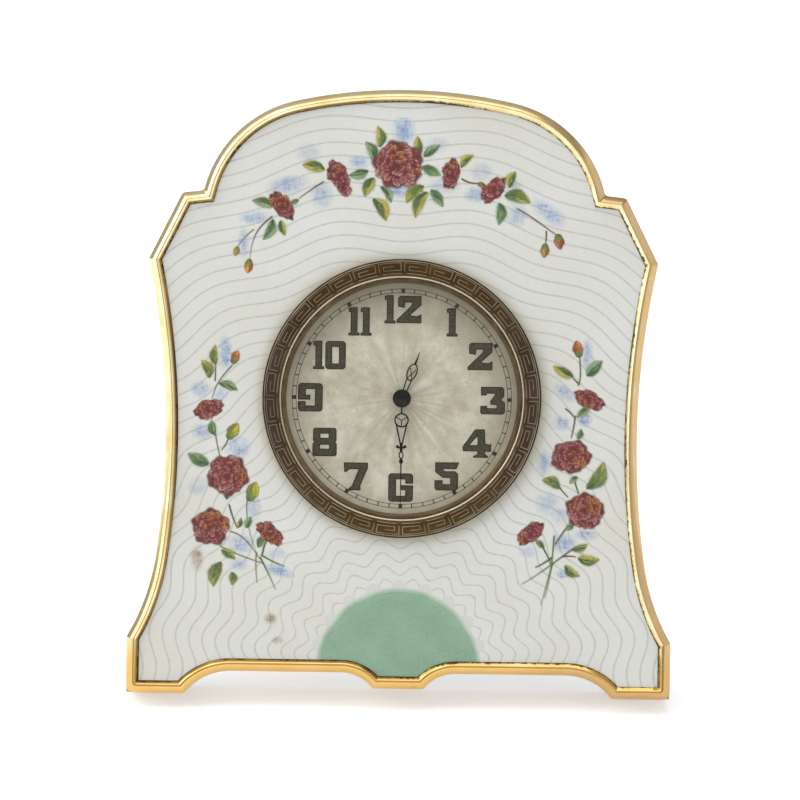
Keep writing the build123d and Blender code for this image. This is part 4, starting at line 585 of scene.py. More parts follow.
def worked_steel(name, light, deep, rough, metallic, shine=0.5):
    """Polished or blackened steel and silver: fine drawn lines, small changes of gloss."""
    finish, add = new_finish(name)
    place = add("TexCoord").outputs["Object"]
    drawn = add("Mapping", {"Vector": place, "Scale": (9.0, 1.0, 1.0)})
    grain = add("TexNoise", {"Vector": drawn, "Scale": 1 / (1.2 * MM), "Detail": 4.0})
    colour = add("Mix", {0: grain, 6: light, 7: deep}, data_type="RGBA")
    gloss = add("MapRange", grain, 0.3, 0.7, rough, rough + 0.15)
    links = {"Base Color": colour, "Roughness": gloss, "Metallic": metallic, "Specular IOR Level": shine}
    add("OutputMaterial", add("BsdfPrincipled", links))
    return finish


def watch_glass():
    """Thin polished watch glass: clear straight through, a mirror only at a low angle, fine handling marks."""
    finish, add = new_finish("watch_glass")
    place = add("TexCoord").outputs["Object"]
    haze = add("TexNoise", {"Vector": place, "Scale": 1 / (2.5 * MM), "Detail": 4.0})
    rough = add("MapRange", haze, 0.3, 0.7, 0.02, 0.08)
    gloss = add("BsdfGlossy", {"Roughness": rough})
    clear = add("BsdfTransparent", {"Color": "#FAFAF8"})
    mirror = add("Fresnel", {"IOR": 1.45})
    behind = add("NewGeometry").outputs["Backfacing"]
    front = add("Math", 1.0, behind, operation="SUBTRACT")
    share = add("Math", mirror, front, operation="MULTIPLY")
    add("OutputMaterial", add("MixShader", share, clear, gloss))
    return finish


def ruby():
    """Synthetic ruby of the bearing jewels, turned and polished: deep red with paler depths."""
    finish, add = new_finish("ruby_jewel")
    place = add("TexCoord").outputs["Object"]
    depth = add("TexNoise", {"Vector": place, "Scale": 1 / (0.8 * MM), "Detail": 2.0})
    colour = add("Mix", {0: depth, 6: "#8E1530", 7: "#C23A52"}, data_type="RGBA")
    links = {"Base Color": colour, "Roughness": 0.08, "IOR": 1.77}
    add("OutputMaterial", add("BsdfPrincipled", links))
    return finish


GILT_RIM = rim_gilding()
GILT = gilded("gilt_brass", "#E6D19C", "#BC9C5E", 9.0, 0.24)
TURNED = turned_gilding()
WHITE = white_enamel()
GREEN = green_enamel()
PAINT = flower_paint()
BRONZE = bezel_brass()
FRET = bronzed("worn_fret_brass", "#B0A28A", "#867660", 0.34)
BEAD = worked_steel("bright_bezel_bead", "#E0D9C6", "#BDB298", 0.2, 1.0)
SIGHT = bronzed("toned_sight_ring", "#A68B66", "#7E6746", 0.34)
DIAL = silvered_dial()
FIGURES = oxidised("oxidised_figures", "#5C5746", "#3A3629", "#15130D", 0.4)
BLACKED = worked_steel("blacked_steel", "#0B0A09", "#161412", 0.4, 0.0, 0.15)
STEEL = worked_steel("polished_steel", "#B9BABB", "#9C9DA0", 0.22, 1.0)
FROSTED = gilded("frosted_movement_brass", "#D9BE82", "#BE9F60", 3.0, 0.38)
SILVER = worked_steel("turned_silver", "#D5D2C8", "#BDB9AE", 0.25, 1.0)
GLASS = watch_glass()
RUBY = ruby()

finishes = {
    "gilt": GILT,
    "silver": SILVER,
    "white_enamel": WHITE,
    "green_enamel": GREEN,
    "bronzed": BRONZE,
    "crystal": GLASS,
    "silvered_dial": DIAL,
    "dark_numerals": FIGURES,
    "dark_steel": BLACKED,
    "movement_brass": FROSTED,
    "steel": STEEL,
    "jewel": RUBY,
}
slot_of = {row["node"]: row["material_slot"] for row in frame["record"]["subparts"]}
for name, node in nodes.items():
    node.data.materials.clear()
    node.data.materials.append(finishes[slot_of[name]])
nodes["sight_ring"].data.materials[0] = SIGHT


# Rim moulding


def bend(start, end, heading, shares):
    """Arc that leaves start along heading and ends at end, at shares of its sweep; also its last heading.

    The sweep is twice the angle between the heading and the chord.
    """
    start, end, heading = (np.asarray(v, float) for v in (start, end, heading))
    side = np.array([-heading[1], heading[0]])
    chord = end - start
    radius = chord @ chord / (2 * (chord @ side))
    centre = start + radius * side
    sweep = 2 * math.atan2(chord @ side, chord @ heading)
    first = math.atan2(*(start - centre)[::-1])
    angle = first + sweep * np.asarray(shares)
    points = centre + abs(radius) * np.stack([np.cos(angle), np.sin(angle)], -1)
    last = np.array([heading[0] * math.cos(sweep) - heading[1] * math.sin(sweep),
                     heading[0] * math.sin(sweep) + heading[1] * math.cos(sweep)])
    return points, last


def three_point_heading(start, middle, end):
    """First heading of the arc through three points: at right angles to the line to its centre."""
    a, b, c = (np.asarray(v, float) for v in (start, middle, end))
    rows = 2 * np.array([b - a, c - a])
    centre = np.linalg.solve(rows, [b @ b - a @ a, c @ c - a @ a])
    spoke = a - centre
    heading = np.array([-spoke[1], spoke[0]]) / np.linalg.norm(spoke)
    return heading if heading @ (b - a) > 0 else -heading


def corner_round(corner, arriving, leaving, radius, steps=6):
    """Small arc in place of an inner corner, between the arriving and the leaving heading."""
    corner, arriving, leaving = (np.asarray(v, float) for v in (corner, arriving, leaving))
    turn = math.acos(np.clip(arriving @ leaving, -1, 1))
    back = radius * math.tan(turn / 2)
    return bend(corner - arriving * back, corner + leaving * back, arriving, np.linspace(0, 1, steps + 1))[0]


def unit(vector):
    """Vector of length one."""
    vector = np.asarray(vector, float)
    return vector / np.linalg.norm(vector)


def case_outline():
    """Closed outline of the case front, clockwise from the top: arcs and lines of the right half, then mirrored."""
    # No points on the last stretch of an arc that ends in a worn corner, where the round goes
    late = np.append(np.linspace(0, 0.84, 13), 1.0)
    crown, heading = bend(TOP, CROWN, (1, 0), np.linspace(0, 1, 25))
    haunch, heading = bend(CROWN, NECK, heading, np.append(np.linspace(0, 0.95, 39), 1.0))
    side, heading = bend(HORN, FLARE, three_point_heading(HORN, WAIST, FLARE), np.linspace(0, 1, 41))
    flare, heading = bend(FLARE, FOOT_TOP, heading, late)
    foot = bend(RAIL, SOLE_IN, (1, 0), late)[0][::-1]
    apron = bend(APRON, DROP, (-1, 0), late)[0]
    half = np.concatenate([crown[:-1], haunch, [SHOULDER], side[:-1], flare, [SOLE_OUT], foot, apron])
    return np.concatenate([half, half[:0:-1] * (-1, 1)])


def mitred(before, after):
    """Offset direction at corners: both edge normals added and scaled so that offsets stay parallel."""
    return (before + after) / (1 + (before * after).sum(1, keepdims=True))


def inward(outline):
    """Mitred inward direction at each point of a closed outline."""
    ahead = np.roll(outline, -1, 0) - outline
    ahead = ahead / np.linalg.norm(ahead, axis=1, keepdims=True)
    normal = np.stack([ahead[:, 1], -ahead[:, 0]], -1)
    return mitred(np.roll(normal, 1, 0), normal)


RIM_WIDTH = 2.11

# Worn corners and their radii; on the inner path each keeps a small share of its size
CORNER_ROUNDS = (
    (NECK, 0.7), (SHOULDER, 0.9), (HORN, 0.8), (FOOT_TOP, 0.9), (SOLE_OUT, 1.3), (SOLE_IN, 0.7), (DROP, 0.6),
)
INNER_SPREAD = 0.03


def rim_paths():
    """Outer path with worn round corners and, point for point, the inner path at the rim's width with sharp ones."""
    outline = case_outline()
    inner = outline + RIM_WIDTH * inward(outline)
    rounds = [(np.multiply(corner, (side, 1)), radius) for corner, radius in CORNER_ROUNDS for side in (-1, 1)]
    marks = sorted((int(np.argmin(np.linalg.norm(outline - corner, axis=1))), radius) for corner, radius in rounds)
    outer_parts, inner_parts, last = [], [], 0
    for mark, radius in marks:
        corner = outline[mark]
        arc = corner_round(corner, unit(corner - outline[mark - 1]), unit(outline[mark + 1] - corner), radius)
        outer_parts += [outline[last:mark], arc]
        inner_parts += [inner[last:mark], inner[mark] + INNER_SPREAD * (arc - corner)]
        last = mark + 1
    return np.concatenate(outer_parts + [outline[last:]]), np.concatenate(inner_parts + [inner[last:]])


# Cross-section of the rim as (inset, level): groove lip, inner facet, flattened ridge, bowed outer facet, side, rabbet
RIM_SECTION = (
    (RIM_WIDTH, 0.1), (1.52, 0.68), (1.15, 0.8), (0.6, 0.28), (0.0, -0.5),
    (0.0, -1.3), (1.35, -1.3), (1.35, 0.0), (RIM_WIDTH, 0.0),
)
RIM_ROUNDS = (0.02, 0.14, 0.2, 0.25, 0.3, 0.05, 0.01, 0.01, 0.01)

profile = rounded(RIM_SECTION, RIM_ROUNDS, 4)
outer_path, inner_path = rim_paths()
inset = profile[None, :, :1] / RIM_WIDTH
rim_flat = outer_path[:, None] + (inner_path - outer_path)[:, None] * inset
rim_points = stand(rim_flat[..., 0], rim_flat[..., 1], profile[None, :, 1])
rim_quads = grid_quads(len(outer_path), len(profile), True, True)
rim = put_piece("rim_moulding", rim_points, rim_quads, "case", GILT_RIM, sharp=50)
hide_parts("rim_frame")
steps = np.linalg.norm(np.diff(outer_path, axis=0), axis=1)
along = np.concatenate([[0], np.cumsum(steps)])
across = RIM_WIDTH - profile[:, 0]
rim_uv = np.stack(np.broadcast_arrays(along[:, None], across[None]), -1).reshape(-1, 2)
loop_points = np.empty(len(rim.data.loops), np.int32)
rim.data.loops.foreach_get("vertex_index", loop_points)
rim.data.uv_layers.new(name="moulding").data.foreach_set("uv", rim_uv[loop_points].astype(np.float32).ravel())


# Bezel, bead and fret

# Key fret and its foot below the band, slope of the band, and centres and half sizes of bead and outer line
KEY_COUNT = 32
KEY_INNER = 20.55
KEY_OUTER = 22.32
KEY_WIDTH = 0.15
KEY_RISE = 0.06
KEY_FOOT = -0.05
KEY_STEP = 0.75
BAND_LEVEL = 1.72
BAND_FALL = 0.2
BEAD_AT, BEAD_HALF = (20.04, 1.3), (0.17, 0.2)
LINE_AT, LINE_HALF = (BAND_OUT, 1.31), (0.08, 0.07)


def band_level(radius):
    """Level of the bezel's sloping band at a radius."""
    return BAND_LEVEL - (radius - BAND_IN) * BAND_FALL


# Section of the bezel as (radius, level): neck, flange, side, outer lip, band, slope and sight edge
bezel_profile = rounded([
    (19.9, -2.6), (20.6, -2.6), (20.6, 0.0), (22.95, 0.0), (22.95, 1.05), (22.8, 1.3), (22.62, 1.3),
    (22.56, 1.2), (22.5, band_level(22.5)), (BAND_IN, band_level(BAND_IN)), (20.3, 1.45), (20.15, 1.3), (19.9, 1.22),
], 0.05, 2)
bezel = turned_piece("bezel_ring", bezel_profile, "case", BRONZE)
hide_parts("bezel")
turn = np.linspace(0, TURN, 20, endpoint=False)
circle = np.stack([np.cos(turn), np.sin(turn)], -1)
turned_piece("bezel_bead", BEAD_AT + circle * BEAD_HALF, "case", BEAD)
turned_piece("bezel_outer_line", LINE_AT + circle * LINE_HALF, "case", FRET)


# Hook and base line of one key, as polylines of (length along, height across), both from 0 to 1
KEY_HOOK = ((0.04, 0.0), (0.04, 1.0), (0.9, 1.0), (0.9, 0.3), (0.22, 0.3), (0.22, 0.66), (0.7, 0.66))
KEY_BASE = ((0.04, 0.0), (1.04, 0.0))


def split(path, longest):
    """Polyline with each side divided evenly into steps no longer than the longest."""
    path = np.asarray(path, float)
    pieces = []
    for start, end in zip(path[:-1], path[1:]):
        steps = max(1, math.ceil(np.linalg.norm(end - start) / longest))
        pieces.append(start + (end - start) * np.linspace(0, 1, steps, endpoint=False)[:, None])
    return np.concatenate(pieces + [path[-1:]])


def fret_ribbon(path):
    """Raised ribbon along a key path on every repeat: a trapezium carried along with mitred corners.

    Lengths turn into angles about the hand axis, heights into radii, and the foot sinks into the band.
    """
    pitch = TURN / KEY_COUNT
    length = pitch * (KEY_INNER + KEY_OUTER) / 2
    path = split(np.asarray(path) * (length, KEY_OUTER - KEY_INNER), KEY_STEP)
    ahead = np.diff(path, axis=0)
    ahead = ahead / np.linalg.norm(ahead, axis=1, keepdims=True)
    normal = np.stack([-ahead[:, 1], ahead[:, 0]], -1)
    mitre = mitred(np.concatenate([normal[:1], normal]), np.concatenate([normal, normal[-1:]]))
    half = KEY_WIDTH / 2
    section = np.array([(-half, KEY_FOOT), (-half * 0.55, KEY_RISE), (half * 0.55, KEY_RISE), (half, KEY_FOOT)])
    flat = path[:, None] + mitre[:, None] * section[None, :, :1]
    lift = np.broadcast_to(section[None, :, 1], flat.shape[:2]).copy()
    flat[0], flat[-1] = path[0], path[-1]
    lift[0], lift[-1] = KEY_FOOT, KEY_FOOT
    radius = KEY_INNER + flat[..., 1]
    turns = np.arange(KEY_COUNT)[:, None, None] * pitch + flat[None, ..., 0] / length * pitch
    points = turned(radius[None], turns, (band_level(radius) + lift)[None])
    quads = grid_quads(len(path), 4, False, True)
    jump = np.arange(KEY_COUNT)[:, None, None] * len(path) * 4
    return points.reshape(-1, 3), (quads[None] + jump).reshape(-1, 4)


hook_points, hook_quads = fret_ribbon(KEY_HOOK)
base_points, base_quads = fret_ribbon(KEY_BASE)
fret_points = np.concatenate([hook_points, base_points])
fret_quads = np.concatenate([hook_quads, base_quads + len(hook_points)])
put_piece("bezel_fret", fret_points, fret_quads, "case", FRET, sharp=30)


# Rounded copies of the solids that show

stamped("dial_numerals", "case", FIGURES)
for node, body, finish, slot, width in (
    ("hour_hand", "hour_hand", BLACKED, "dark_steel", 0.03),
    ("minute_hand", "hand_setting", BLACKED, "dark_steel", 0.03),
    ("case_band", "case", GILT, "gilt", 0.12),
    ("back_plate", "case", GILT, "gilt", 0.12),
    ("back_screws", "case", GILT, "gilt", 0.08),
    ("rear_cover", "case", TURNED, "gilt", 0.12),
    ("leg_hinge", "case", GILT, "gilt", 0.12),
    ("hinge_screws", "case", GILT, "gilt", 0.08),
    ("leg", "leg", GILT, "gilt", 0.18),
    ("setting_knob", "hand_setting", GILT, "gilt", 0.1),
    ("key_hub", "winding_arbor", GILT, "gilt", 0.12),
    ("key_wing", "key_wing", GILT, "gilt", 0.2),
):
    softened(node, body, finish, width)


# Flower painting

# Step of the grid, width and length of threads in thin paint, petal colours and the turn from petal to petal
STEP = 0.1
THREAD = 0.3
THREAD_LONG = 1.3
ROSE_TONES = ("#A0605C", "#8C4848", "#B27E78", "#7C3A3C", "#96544E")
OCHRE_TONES = ("#A4623A", "#B27C42", "#98503A")
GOLDEN_ANGLE = 2.39996

# Cover below which the enamel is bare, level of thin paint above it and what full cover adds
BARE = 0.02
PAINT_LEVEL = 0.012
PAINT_RELIEF = 0.03


def smooth(edge_low, edge_high, value):
    """Soft step from 0 to 1 between two edges."""
    t = np.clip((value - edge_low) / (edge_high - edge_low), 0, 1)
    return t * t * (3 - 2 * t)


def two_tone(first, second, share):
    """Two hex colours mixed as they are written, as paint is by eye, by a share of the second."""
    return srgb(first) * (1 - share) + srgb(second) * share


def cloudy(shape, cell, chance):
    """Smooth random field from 0 to 1: random values at points a few cells apart, mixed by soft steps between them."""
    rows, columns = (np.arange(size) / cell for size in shape)
    values = chance.uniform(0, 1, (int(rows[-1]) + 2, int(columns[-1]) + 2))
    row, column = rows.astype(int), columns.astype(int)
    down, along = smooth(0, 1, rows - row)[:, None], smooth(0, 1, columns - column)[None]
    upper = values[row][:, column] * (1 - along) + values[row][:, column + 1] * along
    lower = values[row + 1][:, column] * (1 - along) + values[row + 1][:, column + 1] * along
    return upper * (1 - down) + lower * down


class Canvas:
    """Paint on the enamel: colour and cover at grid points STEP apart in a window of the case front."""

    def __init__(self, low, high, seed):
        across, up = np.arange(low[0], high[0], STEP), np.arange(low[1], high[1], STEP)
        self.x, self.h = np.meshgrid(across, up, indexing="ij")
        self.low = np.asarray(low, float)
        self.colour = np.zeros(self.x.shape + (3,))
        self.cover = np.zeros(self.x.shape)
        self.chance = np.random.default_rng(seed)
        threads = int(max(high[0] - low[0], high[1] - low[1]) / THREAD) + 3
        self.weave = self.chance.uniform(0, 1, (threads, threads))
        self.patch = 0.7 * cloudy(self.x.shape, 6, self.chance) + 0.3 * cloudy(self.x.shape, 3, self.chance)

    def window(self, centre, reach, turn=0.0):
        """Slices of the grid within reach of a centre, and its points' offsets along and across a turned axis."""
        centre = np.asarray(centre, float)
        first = np.maximum(((centre - reach - self.low) / STEP).astype(int), 0)
        last = np.maximum(((centre + reach - self.low) / STEP).astype(int) + 2, 0)
        place = slice(first[0], last[0]), slice(first[1], last[1])
        x, h = self.x[place] - centre[0], self.h[place] - centre[1]
        return place, x * math.cos(turn) + h * math.sin(turn), h * math.cos(turn) - x * math.sin(turn)

    def lay(self, place, colour, share):
        """Lays colour over the paint in a window by a share of cover at each point."""
        under = self.cover[place] * (1 - share)
        total = share + under
        mixed = colour * share[..., None] + self.colour[place] * under[..., None]
        self.colour[place] = mixed / np.maximum(total, 1e-6)[..., None]
        self.cover[place] = total

    def stroke(self, root, angle, length, width, codes, strength=0.95, bow=0.0, blunt=1.0, soft=0.12):
        """Brush mark: s runs from root to tip, half its width is width * sin(pi * s ** blunt), bowed to one side.

        Codes are the colours at root and tip and, if there is a third, on the left side; hairs and patches vary them.
        """
        root = np.asarray(root, float)
        along = np.array([math.cos(angle), math.sin(angle)])
        place, s, t = self.window(root + along * length / 2, length * 0.75 + width + abs(bow) + 0.2, angle)
        patch = self.patch[place]
        s = s / length + 0.5
        t = t - bow * 4 * s * (1 - s)
        inside = np.clip(s, 0, 1)
        half = width * np.sin(math.pi * inside ** blunt) ** 0.8 * (0.85 + 0.3 * patch)
        soft = np.minimum(soft, 0.6 * half + 0.03)
        share = smooth(-soft, soft, half - np.abs(t)) * (half > 0.01)
        hairs = np.sin(t / 0.12 + 7 * root[0] + 3 * np.sin(4 * s + root[1])) * 0.5 + 0.5
        blend = np.clip(inside + (hairs - 0.5) * 0.4 + (patch - 0.5) * 0.5, 0, 1)[..., None]
        colour = two_tone(codes[0], codes[1], blend)
        if len(codes) > 2:
            side = smooth(-0.1, 0.3, t / max(width, 0.1))[..., None] * 0.85
            colour = colour * (1 - side) + srgb(codes[2]) * side
        self.lay(place, colour, share * strength * (0.7 + 0.15 * hairs + 0.15 * patch))

    def petal(self, root, angle, length, width, codes, lip):
        """Curled petal: an oval with a wavy edge, dark at its root, with a pale curled lip along its outer edge.

        With u from root to tip and v across, the edge is where hypot((u - 0.45) / 0.55, v) equals its waves.
        """
        out = np.array([math.cos(angle), math.sin(angle)])
        place, u, v = self.window(root + out * length / 2, 0.8 * length + width + 0.2, angle)
        u, v = u / length + 0.5, v / width
        phase = self.chance.uniform(0, TURN)
        bearing = np.arctan2(v, u - 0.45)
        waves = 1 + 0.12 * np.sin(3 * bearing + phase) + 0.08 * np.sin(7 * bearing + 2 * phase)
        edge = np.hypot((u - 0.45) / 0.55, v) / waves
        hairs = np.sin(v * 8 + 3 * np.sin(3 * u + phase)) * 0.5 + 0.5
        depth = np.clip(u * 1.1 + (hairs - 0.5) * 0.5 + (self.patch[place] - 0.5) * 0.4, 0, 1)[..., None]
        colour = two_tone(*codes, depth)
        curl = (smooth(0.55, 0.85, edge) * smooth(0.4, 0.8, u) * (0.25 + 0.75 * hairs))[..., None] * 0.8
        colour = colour * (1 - curl) + srgb(lip) * curl
        self.lay(place, srgb("#522626"), smooth(1.25, 0.9, edge) * 0.45)
        self.lay(place, colour, smooth(1.08, 0.88, edge) * 0.9)

    def haze(self, centre, long, short, turn=0.0, strength=0.5, codes=("#84A6DE", "#A8C4EE")):
        """Patch of thin paint hatched up and across: a soft ellipse times short random threads of both directions."""
        long, short = 1.5 * long, 1.5 * short
        place, u, v = self.window(centre, 1.5 * max(long, short), turn)
        u, v = u / long, v / short
        x, y = self.x[place] - self.low[0], self.h[place] - self.low[1]
        column, row = (x / THREAD).astype(int), (y / THREAD).astype(int)
        upright = self.weave[column, (y / THREAD_LONG + self.weave[column, 0]).astype(int)]
        level = self.weave[(x / THREAD_LONG + self.weave[0, row]).astype(int), row]
        threads = 0.5 * upright + 0.5 * level
        soft = np.exp(-2.2 * (u * u + v * v) ** 1.5) * (0.45 + 0.8 * self.patch[place])
        share = np.clip(soft * (0.45 + 0.7 * threads) * strength, 0, 0.7)
        tone = smooth(0.2, 0.9, threads)[..., None]
        self.lay(place, two_tone(codes[1], codes[0], tone), share * (share > BARE))

    def stem(self, points, width=0.1, codes=("#4F6138", "#7A6A40")):
        """Thin line along a Bezier curve through control points, drawn as round touches."""
        order = len(points) - 1
        t = np.linspace(0, 1, 80)[:, None]
        weights = [math.comb(order, k) * t ** k * (1 - t) ** (order - k) for k in range(order + 1)]
        curve = sum(w * np.asarray(p, float) for w, p in zip(weights, points))
        for number, spot in enumerate(curve):
            place, dx, dy = self.window(spot, width * 2 + 0.1)
            tone = number / len(curve)
            share = smooth(width + 0.1, width - 0.08, np.hypot(dx, dy)) * (0.5 - 0.3 * tone)
            self.lay(place, two_tone(*codes, tone), share)

    def leaf(self, root, tip, warm=0.3):
        """Pointed leaf from root to tip: soft body, lighter at its tip, with a dark side and midrib and stray hairs."""
        reach = np.subtract(tip, root)
        length, angle = math.hypot(*reach), math.atan2(reach[1], reach[0])
        width = (0.1 + length * 0.17) * self.chance.uniform(0.85, 1.2)
        bow = self.chance.uniform(-0.18, 0.18) * length
        light = "#B8A83A" if warm > 0.6 else "#98A052" if warm > 0.3 else "#7A9A70"
        side = "#C2B654" if warm > 0.3 else "#94B08A"
        dark_side = width * (0.6 if self.chance.uniform() < 0.5 else -0.6)
        self.stroke(root, angle, length, width + 0.2, (light, side), 0.3, bow, 0.85, 0.4)
        self.stroke(root, angle, length, width, ("#4F7050", light, side), 0.9, bow, 0.85, 0.3)
        self.stroke(root, angle, length * 0.9, width * 0.45, ("#35523A", "#5C7040"), 0.75, bow + dark_side, 0.9, 0.24)
        self.stroke(root, angle, length * 0.8, 0.08, ("#2C442C", "#5E6A34"), 0.75, bow, 1.0, 0.12)
        for number in range(4):
            start = root + reach * self.chance.uniform(0.05, 0.5)
            shade = ("#2A4230", "#4C6438") if number % 2 else ("#96A45C", "#D0C060")
            offset = bow + width * self.chance.uniform(-0.9, 0.9)
            size = length * self.chance.uniform(0.25, 0.5)
            self.stroke(start, angle + self.chance.normal(0, 0.2), size, 0.1, shade, 0.7, offset * 0.5, 1.0, 0.1)

    def bud(self, root, tip, codes=("#B9702E", "#DDB24C", "#A4583A")):
        """Closed bud from root to tip: a drop of warm colour in a green cup."""
        reach = np.subtract(tip, root)
        length, angle = math.hypot(*reach), math.atan2(reach[1], reach[0])
        self.stroke(root, angle, length * 1.03, length * 0.28 + 0.08, ("#4B4A24", "#8A5A2A"), 0.7)
        self.stroke(root, angle, length, length * 0.28, codes)
        self.stroke(root, angle, length * 0.5, length * 0.22, ("#47693F", "#8E9A48"), 0.85, 0.0, 0.8)

    def bloom(self, centre, long, short, turn=0.0, warm=0.25, size=0.9):
        """Full rose in an ellipse: a dark ground, then curled petals on a sunflower spiral, the small heart last.

        Petal k of N lies at radius 0.8 * sqrt(1 - k / N) and angle 2.4 * k.
        """
        centre = np.asarray(centre, float)
        place, u, v = self.window(centre, 1.1 * long + 0.3, turn)
        u, v = u / long, v / short
        bearing = np.arctan2(v, u)
        edge = np.hypot(u, v) / (1 + 0.07 * np.sin(5 * bearing + centre[0]) + 0.04 * np.sin(11 * bearing + centre[1]))
        tone = self.patch[place][..., None]
        self.lay(place, two_tone("#5C2C2C", "#8A4C48", tone), smooth(1.06, 0.88, edge) * 0.92)
        count = max(9, int(2.6 * long * short / size ** 2))
        glow = self.chance.uniform(0, TURN)
        for number in range(count):
            radius = math.sqrt(1 - (number + 0.5) / count) * 0.8
            angle = number * GOLDEN_ANGLE + centre[0] + self.chance.normal(0, 0.15)
            flat = np.array([long * radius * math.cos(angle), short * radius * math.sin(angle)])
            step = np.array([flat @ (math.cos(turn), -math.sin(turn)), flat @ (math.sin(turn), math.cos(turn))])
            point = math.atan2(step[1], step[0]) + self.chance.normal(0, 0.25)
            length = size * (0.75 + 0.75 * radius) * self.chance.uniform(0.85, 1.2)
            root = centre + step - 0.5 * length * np.array([math.cos(point), math.sin(point)])
            sunny = math.cos(angle + turn - glow) * radius + self.chance.normal(0, 0.35) > 1.0 - 1.7 * warm
            tones = OCHRE_TONES if sunny else ROSE_TONES
            tone = tones[int(self.chance.integers(0, len(tones)))]
            lip = "#CBA468" if sunny else ("#CFA7A2", "#BE8C88", "#DCC2BC")[number % 3]
            self.petal(root, point, length, length * self.chance.uniform(0.5, 0.72), ("#66302F", tone), lip)

    def piece(self, name):
        """Mesh of the covered squares, lifted a little where the paint is thick, with its colours as an attribute."""
        quads = grid_quads(*self.x.shape)
        quads = quads[(self.cover > BARE).ravel()[quads].any(1)]
        used, quads = np.unique(quads, return_inverse=True)
        cover = self.cover.ravel()[used]
        x, h = self.x.ravel()[used], self.h.ravel()[used]
        uneven = np.sin(x / 0.14 + 2 * np.sin(h / 0.23)) * np.sin(h / 0.12 + 2 * np.sin(x / 0.2))
        tone = np.clip(self.colour.reshape(-1, 3)[used] * (1 + 0.1 * uneven[:, None]), 0, 1)
        relief = PAINT_LEVEL + PAINT_RELIEF * cover * (0.6 + 0.8 * tone.mean(1))
        points = stand(x, h, relief)
        quads = quads.reshape(-1, 4)[:, ::-1]
        paint = put_piece(name, points, quads, "case", PAINT, closed=False, sharp=180)
        colours = np.concatenate([linear(tone), cover[:, None]], 1).astype(np.float32)
        layer = paint.data.color_attributes.new("paint", "FLOAT_COLOR", "POINT")
        layer.data.foreach_set("color", colours.ravel())


# Colours of thin twigs and of tan stains, from root to tip or dark to pale
GREY_TWIG = ("#5A5A3C", "#7C5E3C")
STAIN = ("#9A7448", "#B8986A")


def painted(name, low, high, seed, layers):
    """Paints one part of the ornament in its own window: each kind of mark in turn, row by row."""
    cloth = Canvas(low, high, seed)
    for mark, rows in layers:
        for row in rows:
            mark(cloth, *row)
    cloth.piece(name)


